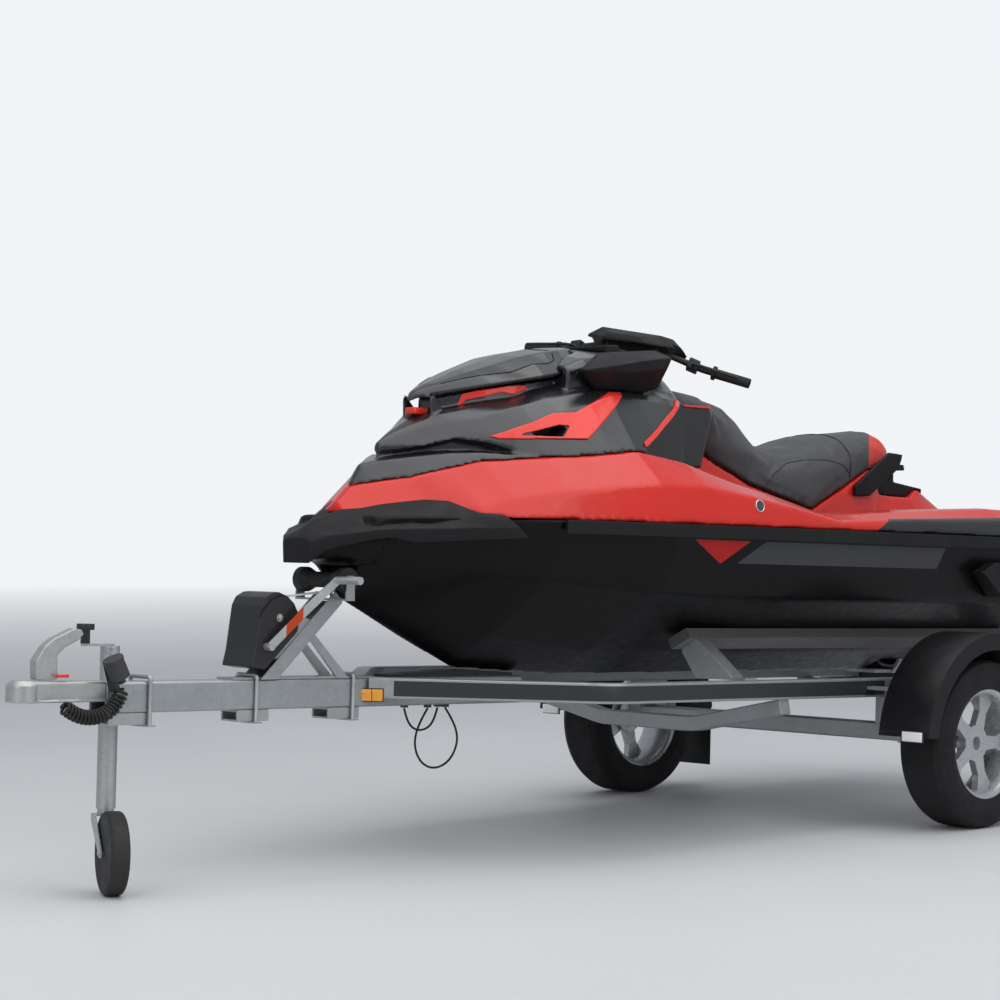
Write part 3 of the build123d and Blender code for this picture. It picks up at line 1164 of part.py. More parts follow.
# Road wheels, drawn about the hub line and set out to each side
tyre_profile = [(-62, 178), (-80, 186), (-92, 215), (-92, 245), (-80, 276), (-60, 286), (60, 286), (80, 276),
                (92, 245), (92, 215), (80, 186), (62, 178)]
rim_profile = [(-78, 186), (-72, 196), (-66, 186), (-62, 177.5), (62, 177.5), (66, 186), (72, 196), (78, 186),
               (70, 172), (40, 160), (-40, 160), (-70, 172)]
hub_axis = Axis((AXLE_X, 0, HUB_Z), (0, 1, 0))
for side_name, side in (("port", 1), ("starboard", -1)):
    with BuildPart() as tyre:
        with BuildSketch(Plane.YZ.offset(AXLE_X)):
            with BuildLine():
                Polyline(*[(side * (wheel_centre_y + y), HUB_Z + r + (0.3 if r < 180 else 0))
                           for y, r in tyre_profile], close=True)
            make_face()
        revolve(axis=hub_axis)
        with BuildSketch(Plane.YZ.offset(AXLE_X)):
            with BuildLine():
                Polyline(*[(side * (wheel_centre_y + y), HUB_Z + r) for y, r in
                           [(-79, 160), (-79, 187), (-72, 196.5), (-65, 187), (-62, 178), (62, 178), (65, 187),
                            (72, 196.5), (79, 187), (79, 160)]], close=True)
            make_face()
        revolve(axis=hub_axis, mode=Mode.SUBTRACT)
    store(tyre, f"tyre_{side_name}")
    with BuildPart() as rim:
        with BuildSketch(Plane.YZ.offset(AXLE_X)):
            with BuildLine():
                Polyline(*[(side * (wheel_centre_y + y), HUB_Z + r) for y, r in rim_profile], close=True)
            make_face()
        revolve(axis=hub_axis)
        face_plane = Plane.XZ.offset(-side * (wheel_centre_y + 34))
        with BuildSketch(face_plane):
            with Locations((AXLE_X, HUB_Z)):
                Circle(62)
                Circle(STUB_R + FIT, mode=Mode.SUBTRACT)
        extrude(amount=side * 40)
        with BuildSketch(face_plane):
            with Locations((AXLE_X, HUB_Z)):
                with PolarLocations(0, SPOKES, start_angle=36):
                    Polygon(*SPOKE_OUTLINE, align=None)
        extrude(amount=side * 26)
        with BuildSketch(Plane.XZ.offset(-side * (wheel_centre_y + 26))):
            with Locations((AXLE_X, HUB_Z)):
                Circle(STUB_R + FIT)
        extrude(amount=side * 40, mode=Mode.SUBTRACT)
    store(rim, f"rim_{side_name}")

# Mudguards: a band with a rim along each edge, and a flap that hangs behind
GUARD_RIM = 58.0
GUARD_FOOT_Z = HUB_Z + 30.0
FLAP_T = 4.0
FLAP_FOOT_Z = 92.0
flap_side = [ahead(1 - GUARD_R, FLAP_FOOT_Z), ahead(1 - GUARD_R, GUARD_FOOT_Z + 10),
             ahead(1 - GUARD_R - FLAP_T, GUARD_FOOT_Z + 10), ahead(1 - GUARD_R - FLAP_T, FLAP_FOOT_Z)]
below_guard = [ahead(-500, -200), ahead(500, -200), ahead(500, GUARD_FOOT_Z), ahead(-500, GUARD_FOOT_Z)]
with BuildPart() as mudguards:
    for side in (1, -1):
        for y_from, y_to, band in (
            (GUARD_INNER_Y, GUARD_OUTER_Y, GUARD_T),
            (GUARD_INNER_Y, GUARD_INNER_Y + GUARD_T, GUARD_RIM),
            (GUARD_OUTER_Y - GUARD_T, GUARD_OUTER_Y, GUARD_RIM),
        ):
            with BuildSketch(Plane.XZ.offset(-side * y_from)):
                with Locations((AXLE_X, HUB_Z)):
                    Circle(GUARD_R)
                    Circle(GUARD_R - band, mode=Mode.SUBTRACT)
            extrude(amount=-side * (y_to - y_from))
    add(slab_pair(below_guard, GUARD_INNER_Y - 1, GUARD_OUTER_Y + 1), mode=Mode.SUBTRACT)
    add(slab_pair(flap_side, GUARD_INNER_Y + 8, GUARD_OUTER_Y - 4))
store(mudguards, "mudguards")


# Bunks under the hull, lying on its bottom's slope, and their brackets on the rails
BUNK_Y = 330.0
BUNK_T = 38.0
BUNK_W = 90.0
BUNK_REACH = (-780.0, 1000.0)
_, _, strake_y, strake_h, chine_y, chine_h, _ = HULL_RIBS[1]
bunk_slope = (chine_h - strake_h) / (chine_y - strake_y)
bunk_top_z = KEEL_Z + strake_h + (BUNK_Y - strake_y) * bunk_slope - SEAM / 2
bunk_across = Vector(1, bunk_slope).normalized()
bunk_down = Vector(bunk_slope, -1).normalized()
with BuildPart() as bunks:
    for side in (1, -1):
        with BuildSketch(Plane.YZ.offset(AXLE_X + BUNK_REACH[0])):
            with BuildLine():
                Polyline(*[(side * (BUNK_Y + a * BUNK_W / 2 * bunk_across.X + d * BUNK_T * bunk_down.X),
                            bunk_top_z + a * BUNK_W / 2 * bunk_across.Y + d * BUNK_T * bunk_down.Y)
                           for a, d in ((-1, 0), (1, 0), (1, 1), (-1, 1))], close=True)
            make_face()
        extrude(amount=BUNK_REACH[1] - BUNK_REACH[0])
store(bunks, "bunks")

# Brackets: y and z of one side's outline, from the rail's top in under the bunk
under_inner = (BUNK_Y - 30 * bunk_across.X + BUNK_T * bunk_down.X,
               bunk_top_z - 30 * bunk_across.Y + BUNK_T * bunk_down.Y)
under_outer = (BUNK_Y + 40 * bunk_across.X + BUNK_T * bunk_down.X,
               bunk_top_z + 40 * bunk_across.Y + BUNK_T * bunk_down.Y)
bracket_outline = (
    (RAIL_Y + RAIL_W / 2, RAIL_TOP), (RAIL_Y + RAIL_W / 2, RAIL_TOP + 8), (RAIL_Y - 30, RAIL_TOP + 8),
    under_outer, under_inner, (under_inner[0], under_inner[1] - 14), (under_outer[0], RAIL_TOP),
)
with BuildPart() as frame_brackets:
    for side in (1, -1):
        for x_bracket in (900, -720):
            with BuildSketch(Plane.YZ.offset(AXLE_X + x_bracket)):
                with BuildLine():
                    Polyline(*[(side * y, z) for y, z in bracket_outline], close=True)
                make_face()
            extrude(amount=60)
        # stays that carry the mudguard's inner edge
        for x_stay in (-300, 300):
            with Locations((AXLE_X + x_stay, side * (RAIL_Y + RAIL_W / 2 + GUARD_INNER_Y) / 2, RAIL_TOP - RAIL_H / 2)):
                Box(40, GUARD_INNER_Y - RAIL_Y - RAIL_W / 2, 12)
store(frame_brackets, "frame_brackets")

with BuildPart() as keel_pad:
    add(slab([ahead(1460, DRAWBAR_TOP), ahead(2000, DRAWBAR_TOP), ahead(2000, DRAWBAR_TOP + 8),
              ahead(1690, DRAWBAR_TOP + 22), ahead(1460, DRAWBAR_TOP + 9)], -35, 35))
store(keel_pad, "keel_pad")


# Winch post: a leaning channel on the drawbar with a strut behind it
POST_W = 92.0
POST_DEPTH = 44.0
POST_T = 5.0
post_dir = Vector(POST_HEAD[0] - POST_FOOT[0], 0, POST_HEAD[1] - POST_FOOT[1])
post_plane = Plane(origin=(AXLE_X + POST_FOOT[0], 0, POST_FOOT[1]), x_dir=(0, 1, 0), z_dir=post_dir)
PLATE_TOP = DRAWBAR_TOP + 6.0
strut = [ahead(2316, 636), ahead(2348, 636), ahead(2216, DRAWBAR_TOP), ahead(2170, DRAWBAR_TOP)]
winch_cheek = [ahead(2436, 560), ahead(2318, 670), ahead(2400, 700), ahead(2545, 560)]
FORK_Y = ROLLER_HALF + 4.0
roller_x, roller_z = ahead(*BOW_ROLLER)
shelf_z = POST_HEAD[1] - 10.0
roller_cheek = [(roller_x - 18, shelf_z), (roller_x + 18, shelf_z), (roller_x + 14, roller_z + 14),
                (roller_x - 14, roller_z + 14)]
with BuildPart() as winch_post:
    with BuildSketch(post_plane.offset(-60)):
        Rectangle(POST_W, POST_DEPTH)
        with Locations((0, -POST_T)):
            Rectangle(POST_W - 2 * POST_T, POST_DEPTH, mode=Mode.SUBTRACT)
    extrude(amount=post_dir.length + 60)
    add(slab_pair(strut, 34, 41))
    add(slab([ahead(2140, DRAWBAR_TOP), ahead(2620, DRAWBAR_TOP), ahead(2620, PLATE_TOP), ahead(2140, PLATE_TOP)],
             -POST_W / 2 + 8, POST_W / 2 - 8))
    split(bisect_by=Plane.XY.offset(DRAWBAR_TOP), keep=Keep.TOP)
    # cheeks that carry the winch
    add(slab_pair(winch_cheek, 36, 41))
    # fork that carries the bow roller
    add(slab_pair(roller_cheek, FORK_Y, FORK_Y + POST_T))
    add(slab([(roller_x - 18, shelf_z), (roller_x + 18, shelf_z), (roller_x + 18, shelf_z + 6),
              (roller_x - 18, shelf_z + 6)], -FORK_Y - 1, FORK_Y + 1))
    with BuildSketch(Plane.XZ.offset(-FORK_Y - POST_T)):
        with Locations((roller_x, roller_z)):
            Circle(ROLLER_BORE_R - FIT)
    extrude(amount=2 * (FORK_Y + POST_T))
store(winch_post, "winch_post")

# Columns: distance ahead of the axle and height
WINCH_OUTLINE = (
    (2520, 528), (2574, 536), (2561, 586), (2543, 716), (2528, 742), (2500, 756), (2475, 758), (2440, 746),
    (2414, 724), (2395, 693), (2397, 641),
)
WINCH_Y = (-75.0, 65.0)
with BuildPart() as winch_box:
    add(slab([ahead(x, z) for x, z in WINCH_OUTLINE], *WINCH_Y))
    with BuildSketch(post_plane.offset(-100)):
        with Locations((0, 100 - POST_DEPTH / 2)):
            Rectangle(400, 200)
    extrude(amount=800, mode=Mode.SUBTRACT)
    add(winch_post.part, mode=Mode.SUBTRACT)
store(winch_box, "winch_box")

# The crank. Columns: distance ahead of the axle, y and height
CRANK_PATH = ((2520, 84, 596), (2400, 92, 698), (2288, 112, 796))
HANDLE_R = 12.0
HANDLE_L = 104.0
crank_points = [Vector(AXLE_X + x, y, z) for x, y, z in CRANK_PATH]
with BuildPart() as winch_crank:
    with BuildLine():
        FilletPolyline(*crank_points, radius=60)
    with BuildSketch(Plane(origin=crank_points[0], x_dir=(0, 1, 0), z_dir=crank_points[1] - crank_points[0])):
        Rectangle(6, 26)
    sweep()
    with BuildSketch(Plane.XZ.offset(-WINCH_Y[1])):
        with Locations(ahead(CRANK_PATH[0][0], CRANK_PATH[0][2])):
            Circle(11)
    extrude(amount=-30)
    with BuildSketch(Plane.XZ.offset(-CRANK_PATH[2][1])):
        with Locations(ahead(CRANK_PATH[2][0], CRANK_PATH[2][2])):
            Circle(HANDLE_R)
    extrude(amount=-HANDLE_L)
store(winch_crank, "winch_crank")

# Strap from the winch under the roller to the bow eye
STRAP_T = 2.0
strap_side = [ahead(2408, 742), ahead(2221.5, 761), ahead(2221.5, 761 + STRAP_T), ahead(2408, 742 + STRAP_T)]
with BuildPart() as winch_strap:
    add(slab(strap_side, -25, 25))
    add(winch_box.part, mode=Mode.SUBTRACT)
store(winch_strap, "winch_strap")

EYE_PATH = ((3120, 272), (3190, 272), (3190, 246), (3120, 246))
EYE_R = 5.0
with BuildPart() as bow_eye:
    with BuildLine(Plane.XZ):
        FilletPolyline(*[at(*p) for p in EYE_PATH], radius=12)
    with BuildSketch(Plane.YZ.offset(at(*EYE_PATH[0])[0])):
        with Locations((0, at(*EYE_PATH[0])[1])):
            Circle(EYE_R)
    sweep()
    add(ribs(hull_sections, grow=0.3), mode=Mode.SUBTRACT)
    add(ribs(chin_sections, grow=0.3), mode=Mode.SUBTRACT)
store(bow_eye, "bow_eye")

# Bow roller, a bobbin; columns of its profile: radius, half length
ROLLER_PROFILE = ((ROLLER_BORE_R, ROLLER_HALF), (38, ROLLER_HALF), (38, 83), (24, 49))
with BuildPart() as bow_roller:
    with BuildSketch(Plane(origin=(AXLE_X + BOW_ROLLER[0], 0, BOW_ROLLER[1]), x_dir=(1, 0, 0), z_dir=(0, 0, 1))):
        with BuildLine():
            Polyline(*ROLLER_PROFILE, *[(r, -y) for r, y in reversed(ROLLER_PROFILE)], close=True)
        make_face()
    revolve(axis=Axis((AXLE_X + BOW_ROLLER[0], 0, BOW_ROLLER[1]), (0, 1, 0)))
store(bow_roller, "bow_roller")

# Blocks under the drawbar and the bolts that hold the jockey clamp and the winch post to it
# Columns: distance ahead of the axle, half length
CLAMP_BLOCKS = ((2990, 74), (2540, 60), (2185, 62))
BLOCK_H = 34.0
BLOCK_HALF_W = 38.0
BOLT_R = 6.0
BOLT_Y = 46.6
BOLT_AHEAD = (2927.0, 2536.0, 2156.0)
BOLT_PLATE = (28.0, 2 * BOLT_Y + 26.0, 5.0)
bolt_foot = DRAWBAR_TOP - DRAWBAR_H - BLOCK_H - 3.0
with BuildPart() as drawbar_clamps:
    for distance, half_l in CLAMP_BLOCKS:
        with Locations((AXLE_X + distance, 0, DRAWBAR_TOP - DRAWBAR_H - BLOCK_H / 2)):
            Box(2 * half_l, 2 * BLOCK_HALF_W, BLOCK_H)
            Box(2 * half_l, 2 * BLOCK_HALF_W - 12, BLOCK_H - 12, mode=Mode.SUBTRACT)
    for distance in BOLT_AHEAD:
        with BuildLine(Plane.YZ.offset(AXLE_X + distance)):
            FilletPolyline((-BOLT_Y, bolt_foot), (-BOLT_Y, PLATE_TOP + BOLT_R + SEAM),
                           (BOLT_Y, PLATE_TOP + BOLT_R + SEAM), (BOLT_Y, bolt_foot), radius=10)
        with BuildSketch(Plane.XY.offset(bolt_foot)):
            with Locations((AXLE_X + distance, -BOLT_Y)):
                Circle(BOLT_R)
        sweep()
        with Locations((AXLE_X + distance, 0, bolt_foot)):
            Box(*BOLT_PLATE)
store(drawbar_clamps, "drawbar_clamps")

# Plug of the light lead on its bracket, and the curly lead that hangs from it
PLUG_Y = 72.0
PLUG_R = 29.0
PLUG_FOOT = (3051.0, 511.0)
PLUG_HEAD = (3083.0, 570.0)
plug_dir = Vector(PLUG_HEAD[0] - PLUG_FOOT[0], 0, PLUG_HEAD[1] - PLUG_FOOT[1])
plug_plane = Plane(origin=(AXLE_X + PLUG_FOOT[0], PLUG_Y, PLUG_FOOT[1]), x_dir=(0, 1, 0), z_dir=plug_dir)
with BuildPart() as lead_plug:
    with BuildSketch(plug_plane):
        Circle(PLUG_R)
    extrude(amount=plug_dir.length - 14)
    with BuildSketch(plug_plane.offset(plug_dir.length - 14)):
        Circle(PLUG_R + 2)
    extrude(amount=10)
    with BuildSketch(plug_plane.offset(-16)):
        Circle(11)
    extrude(amount=18)
store(lead_plug, "lead_plug")

LEAD_R = 20.0
# Columns: distance ahead of the axle, y and height
LEAD_ROUTE = (
    (3246, 71, 438),
    (3205, 72, 407),
    (3130, 72, 399),
    (3066, 72, 427),
    (3042, 72, 480),
)
WIRE_R = 3.5
WIRE_ROUTES = (
    ("frame_cable_front", (
        (1900, 0, 398),
        (1886, 0, 354),
        (1846, 0, 326),
        (1797, 0, 332),
        (1768, 0, 362),
        (1757, 0, 398),
    )),
    ("frame_cable_rear", (
        (1824, 26, 398),
        (1862, 26, 350),
        (1880, 26, 285),
        (1850, 26, 228),
        (1790, 26, 205),
        (1722, 26, 228),
        (1686, 26, 290),
        (1706, 26, 352),
        (1748, 26, 398),
    )),
)


def cord(route, radius):
    """Sweep a cord's tube along straight runs with rounded corners; prints each corner's radius."""
    points = [Vector(AXLE_X + x, y, z) for x, y, z in route]
    arcs = []
    for before, corner, after in zip(points, points[1:], points[2:]):
        first, second = corner - before, after - corner
        half_turn = radians(first.get_angle(second)) / 2
        arcs.append(0.45 * min(first.length, second.length) / tan(half_turn))
    print("corner radii", [round(a) for a in arcs])
    with BuildPart() as tube:
        with BuildLine():
            FilletPolyline(*points, radius=arcs)
        with BuildSketch(Plane(origin=points[0], z_dir=points[1] - points[0])):
            Circle(radius)
        sweep()
    return tube.part


with BuildPart() as lead_coil:
    add(cord(LEAD_ROUTE, LEAD_R))
store(lead_coil, "lead_coil")

for cable_name, cable_route in WIRE_ROUTES:
    with BuildPart() as frame_cable:
        add(cord(cable_route, WIRE_R))
    store(frame_cable, cable_name)

GLAND = (18.0, 18.0, 8.4)
GLAND_GAP = 2.6
holder_side = [ahead(3026, 470), ahead(3066, 470), ahead(3090, 548), ahead(3052, 548)]
with BuildPart() as cable_fittings:
    # the plate that the plug is clipped to, then the glands under the drawbar
    add(slab(holder_side, DRAWBAR_W / 2, PLUG_Y - PLUG_R - SEAM))
    for _, route in WIRE_ROUTES:
        for distance, y_gland, z_end in (route[0], route[-1]):
            with Locations((AXLE_X + distance, y_gland, z_end + GLAND_GAP + GLAND[2] / 2)):
                Box(*GLAND)
store(cable_fittings, "cable_fittings")

with BuildPart() as light_board:
    with BuildSketch(Plane.YZ.offset(AXLE_X - REAR_REACH + 4)):
        with Locations((0, 432)):
            Rectangle(1500, 120)
    extrude(amount=26)
store(light_board, "light_board")
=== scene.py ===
# %% [markdown]
# # A jet watercraft parked on its road trailer
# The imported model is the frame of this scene. Its solids keep their places and get finishes made of
# shader nodes. Where a real surface is crowned, sewn or moulded, a new piece stands in for the plain
# solid. Everything is in metres: +X is forward, +Y is port and +Z is up.

# %% Load the frame
import json
from math import atan2, cos, pi, radians, sin, tau
import bpy
from mathutils import Matrix, Vector
from mathutils.bvhtree import BVHTree


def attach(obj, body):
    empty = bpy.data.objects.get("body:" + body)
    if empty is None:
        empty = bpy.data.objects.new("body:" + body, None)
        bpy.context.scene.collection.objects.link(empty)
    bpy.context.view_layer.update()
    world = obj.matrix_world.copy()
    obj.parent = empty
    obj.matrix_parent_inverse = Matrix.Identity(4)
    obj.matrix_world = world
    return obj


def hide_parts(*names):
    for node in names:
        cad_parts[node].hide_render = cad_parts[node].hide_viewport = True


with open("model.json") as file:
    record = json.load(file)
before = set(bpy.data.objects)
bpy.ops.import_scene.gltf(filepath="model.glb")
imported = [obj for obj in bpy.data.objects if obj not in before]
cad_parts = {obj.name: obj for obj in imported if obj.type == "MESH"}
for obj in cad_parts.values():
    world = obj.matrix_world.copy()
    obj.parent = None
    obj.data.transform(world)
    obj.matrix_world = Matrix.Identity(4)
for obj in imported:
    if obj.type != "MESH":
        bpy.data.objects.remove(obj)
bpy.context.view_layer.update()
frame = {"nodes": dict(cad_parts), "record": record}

nodes = frame["nodes"]
record = frame["record"]
slot_of = {s["node"]: s["material_slot"] for s in record["subparts"]}
body_of = {node: body for body, names in record["behaviour"]["bodies"].items() for node in names}
HOME = body_of["drawbar"]

# %% [markdown]
# ## Two ways to say where a thing is
# Craft and trailer were drawn level and then tipped nose up about the wheels' axle, as they park.
# Places here are given level, which is easier to read, and one matrix tips them. On the craft a
# place is its station ahead of the transom and its height over the keel, in millimetres. On the
# trailer it is the distance ahead of the axle and the height over the floor.

# %% Tipped places
NOSE_UP = radians(2)
HUB_Z = 0.286
AXLE_X = -1.1085
TRANSOM = -975
KEEL = 495
TIP = (Matrix.Translation((AXLE_X, 0, HUB_Z)) @ Matrix.Rotation(-NOSE_UP, 4, "Y")
       @ Matrix.Translation((0, 0, -HUB_Z)))
LEVEL = TIP.inverted()


def ahead(distance, y, z):
    """A place on the trailer in metres, before it is tipped."""
    return Vector((distance / 1000, y / 1000, z / 1000))


def craft(station, y, height):
    """A place on the craft in metres, before it is tipped."""
    return ahead(station + TRANSOM, y, height + KEEL)


print("transom at", [round(c, 3) for c in TIP @ craft(0, 0, 0)])

# %% [markdown]
# ## Camera
# The photograph was taken from the port bow at chest height with a short telephoto lens, which
# keeps the craft's length in proportion. The lens and place come from the photograph's perspective.

# %% Camera
camera_data = bpy.data.cameras.new("camera")
camera = bpy.data.objects.new("camera", camera_data)
bpy.context.scene.collection.objects.link(camera)
camera.location = (6.4255, 6.128, 1.123)
camera.rotation_euler = Vector((-0.7032, -0.7110, 0)).to_track_quat("-Z", "Y").to_euler()
camera_data.lens = 95.8
camera_data.sensor_width = 36
camera_data.shift_y = -0.0023
camera_data.clip_end = 3000
bpy.context.scene.camera = camera
bpy.context.scene.view_settings.view_transform = "Standard"
print("lens", camera_data.lens)

# %% [markdown]
# ## Shader maths as expressions
# A node tree reads more easily as a formula. A small class wraps a socket and overloads the
# arithmetic operators, so `1 - mask * 0.5` adds its own Math nodes. Every other node comes from one
# method that takes the node's type, its settings and the values or links of its sockets.


# %% Socket arithmetic
class Flow:
    """A node's output that can be used in arithmetic."""

    def __init__(self, finish, socket):
        self.finish = finish
        self.socket = socket

    def maths(self, operation, *others):
        node = self.finish.tree.nodes.new("ShaderNodeMath")
        node.operation = operation
        for slot, value in zip(node.inputs, [self, *others]):
            self.finish.plug(slot, value)
        return Flow(self.finish, node.outputs[0])

    def __add__(self, other):
        return self.maths("ADD", other)

    __radd__ = __add__

    def __mul__(self, other):
        return self.maths("MULTIPLY", other)

    __rmul__ = __mul__

    def __sub__(self, other):
        return self.maths("SUBTRACT", other)

    def __rsub__(self, other):
        return (self * -1) + other

    def __truediv__(self, other):
        return self.maths("DIVIDE", other)

    def __gt__(self, other):
        return self.maths("GREATER_THAN", other)

    def __lt__(self, other):
        return self.maths("LESS_THAN", other)

    def __abs__(self):
        return self.maths("ABSOLUTE")

    def wave(self):
        return self.maths("SINE")


# %% Finish
class Finish:
    """A material with its Principled shader and a method that adds any node."""

    def __init__(self, name, colour, roughness, metallic=0.0, coat=0.0, coat_roughness=0.05, sheen=0.0,
                 shine=0.5):
        self.material = bpy.data.materials.new(name)
        self.material.use_nodes = True
        self.tree = self.material.node_tree
        self.shader = self.tree.nodes["Principled BSDF"]
        self.colour = (*colour, 1.0)
        settings = {
            "Base Color": self.colour,
            "Roughness": roughness,
            "Metallic": metallic,
            "Coat Weight": coat,
            "Coat Roughness": coat_roughness,
            "Sheen Weight": sheen,
            "Specular IOR Level": shine,
        }
        for key, value in settings.items():
            self.shader.inputs[key].default_value = value
        self.material.diffuse_color = self.colour

    def plug(self, slot, value):
        """Link a flow into a socket, or set the socket's own value."""
        if isinstance(value, Flow):
            self.tree.links.new(value.socket, slot)
        else:
            slot.default_value = value

    def node(self, kind, settings=None, out=0, **inputs):
        """Add a node, set its settings first and then its sockets, and give one output."""
        node = self.tree.nodes.new("ShaderNode" + kind)
        for key, value in (settings or {}).items():
            setattr(node, key, value)
        for key, value in inputs.items():
            name = key.replace("_", " ")
            self.plug(next(s for s in node.inputs if s.enabled and s.name == name), value)
        chosen = node.outputs[out] if isinstance(out, str) else [s for s in node.outputs if s.enabled][out]
        return Flow(self, chosen)

    def place(self):
        """Object coordinates, in metres in the row frame."""
        return self.node("TexCoord", out="Object")

    def level(self, name):
        """One level coordinate in metres: X from the axle, Y, or Z from the hub's height."""
        moved = self.node("Mapping", {"vector_type": "TEXTURE"}, Vector=self.place(),
                          Location=(AXLE_X, 0, HUB_Z), Rotation=(0, -NOSE_UP, 0))
        return self.node("SeparateXYZ", out=name, Vector=moved)

    def noise(self, scale, detail=4.0, roughness=0.5):
        """Fractal noise from 0 to 1, at this many waves in a metre."""
        return self.node("TexNoise", out="Fac", Vector=self.place(), Scale=float(scale), Detail=detail,
                         Roughness=roughness)

    def cells(self, scale, feature="F1", out="Distance"):
        """Voronoi cells, this many in a metre."""
        return self.node("TexVoronoi", {"feature": feature}, out=out, Vector=self.place(), Scale=float(scale))

    def step(self, factor, low, high, first=0.0, last=1.0):
        """Carry a range of values over to another, and stop at its ends."""
        return self.node("MapRange", Value=factor, From_Min=low, From_Max=high, To_Min=first, To_Max=last)

    def blend(self, factor, first, second):
        """Mix two colours. A mix node's colour sockets are its seventh and eighth."""
        node = self.tree.nodes.new("ShaderNodeMix")
        node.data_type = "RGBA"
        for slot, value in ((0, factor), (6, first), (7, second)):
            self.plug(node.inputs[slot], value)
        return Flow(self, node.outputs[2])

    def tint(self, flow):
        self.plug(self.shader.inputs["Base Color"], flow)

    def rough(self, flow):
        self.plug(self.shader.inputs["Roughness"], flow)

    def metal(self, flow):
        self.plug(self.shader.inputs["Metallic"], flow)

    def relief(self, height, strength=0.3, distance=0.001):
        """Raise the surface by a height field through a Bump node."""
        bump = self.node("Bump", Height=height, Strength=strength, Distance=distance)
        self.plug(self.shader.inputs["Normal"], bump)


def shade(colour, share):
    """A colour made darker or lighter, with alpha."""
    return (*[min(1.0, c * share) for c in colour], 1.0)


print("shader helpers ready")

# %% [markdown]
# ## Finishes
# Rain stands in small beads on gelcoat, plastic and vinyl. A bead is a cell of a Voronoi pattern
# with a dome inside it, and a slow noise decides which cells are wet, so dry patches stay between.


# %% Beads of rain
def rain(finish, amount=0.55, scale=190):
    """Height of small beads of water, scattered over the surface."""
    wet = finish.step(finish.noise(9, 3.0), 0.38, 0.62)
    size = finish.step(finish.node("SeparateColor", out="Red", Color=finish.cells(scale, out="Color")),
                       0.0, 1.0, 0.08, 0.36 * amount + 0.1)
    return finish.step(finish.cells(scale) / size, 0.5, 1.0, 1.0, 0.0) * wet


# %% [markdown]
# Gelcoat is a coloured resin under a clear gloss. Its colour is nearly even, so the work is in the
# coat, in faint polishing marks in the roughness and in the rain. Moulded plastic has no coat: a
# fine grain from its mould breaks the highlight, and with age its colour turns a little lighter or darker in
# patches.


# %% Gelcoat
def gelcoat(name, colour, roughness=0.22, wet=0.5, coat=0.5, shine=0.3):
    """Coloured resin with a clear gloss and beads of water."""
    made = Finish(name, colour, roughness, coat=coat, coat_roughness=0.06, shine=shine)
    clouds = made.noise(2.5, 3.0)
    made.tint(made.blend(clouds, shade(colour, 0.9), shade(colour, 1.1)))
    made.rough(made.step(made.noise(35, 5.0), 0.3, 0.7, roughness - 0.05, roughness + 0.08))
    made.relief(rain(made, wet), 0.35, 0.0012)
    return made


# %% Moulded plastic
def moulded(name, colour, roughness=0.5, grain=900, wet=0.4, coat=0.0):
    """Plastic with the grain of its mould, dulled in patches."""
    made = Finish(name, colour, roughness, coat=coat, coat_roughness=0.25, shine=0.25)
    dull = made.noise(6, 5.0)
    made.tint(made.blend(dull, shade(colour, 0.8), shade(colour, 1.2)))
    made.rough(made.step(made.noise(14, 4.0), 0.3, 0.7, roughness - 0.1, roughness + 0.1))
    made.relief(made.noise(grain, 2.0) * 0.25 + rain(made, wet), 0.3, 0.001)
    return made


# %% [markdown]
# Hot-dip galvanised steel is covered by zinc crystals that meet at straight borders, each turned
# another way, so each shows another grey. Voronoi cells with a random colour give this spangle; a
# second, larger noise adds the chalky bloom that rain leaves on it.


# %% Zinc
def zinc(name, colour, spangle=70, roughness=0.42, bloom=0.4, metallic=0.7):
    """Steel under zinc: crystals of slightly different grey, with a chalky bloom."""
    made = Finish(name, colour, roughness, metallic)
    crystal = made.node("SeparateColor", out="Red", Color=made.cells(spangle, out="Color"))
    bright = made.blend(crystal, shade(colour, 0.93), shade(colour, 1.05))
    chalk = made.step(made.noise(7, 6.0), 0.42, 0.7, 0.0, bloom)
    made.tint(made.blend(chalk, bright, shade(colour, 0.78)))
    made.rough(made.step(crystal + chalk, 0.0, 1.4, roughness - 0.04, roughness + 0.12))
    made.relief(made.noise(160, 4.0), 0.12, 0.0006)
    return made


# %% Rubber
def rubber(name, colour, roughness=0.72, scale=260):
    """Vulcanised rubber with a dusty bloom."""
    made = Finish(name, colour, roughness, shine=0.25)
    bloom = made.step(made.noise(5, 6.0), 0.4, 0.75, 0.0, 0.5)
    made.tint(made.blend(bloom, shade(colour, 1.0), shade(colour, 1.9)))
    made.rough(made.step(made.noise(22, 4.0), 0.3, 0.7, roughness - 0.12, roughness + 0.1))
    made.relief(made.noise(scale, 3.0), 0.12, 0.0006)
    return made


# %% Cast alloy
def cast(name, colour, roughness=0.5, scale=320, metallic=0.8):
    """Sand-cast alloy, matt and slightly pitted."""
    made = Finish(name, colour, roughness, metallic)
    stain = made.noise(12, 6.0)
    made.tint(made.blend(stain, shade(colour, 0.88), shade(colour, 1.06)))
    made.rough(made.step(made.noise(40, 4.0), 0.3, 0.7, roughness - 0.12, roughness + 0.15))
    made.relief(made.noise(scale, 4.0), 0.25, 0.0006)
    return made


# %% [markdown]
# Carpet, foam mat, webbing and vinyl are told apart by their relief: tufts for the carpet of the
# bunks, long grooves for the mats, a plain weave for the strap and a fine leather grain for the seat.


# %% Carpet
def carpet(name, colour):
    """Short tufted marine carpet."""
    made = Finish(name, colour, 0.95, sheen=0.35)
    tufts = made.noise(520, 3.0, 0.7)
    wear = made.noise(9, 5.0)
    made.tint(made.blend(tufts, shade(colour, 0.45), shade(colour, 1.9)))
    made.relief(tufts * 0.8 + wear * 0.4, 0.8, 0.003)
    return made


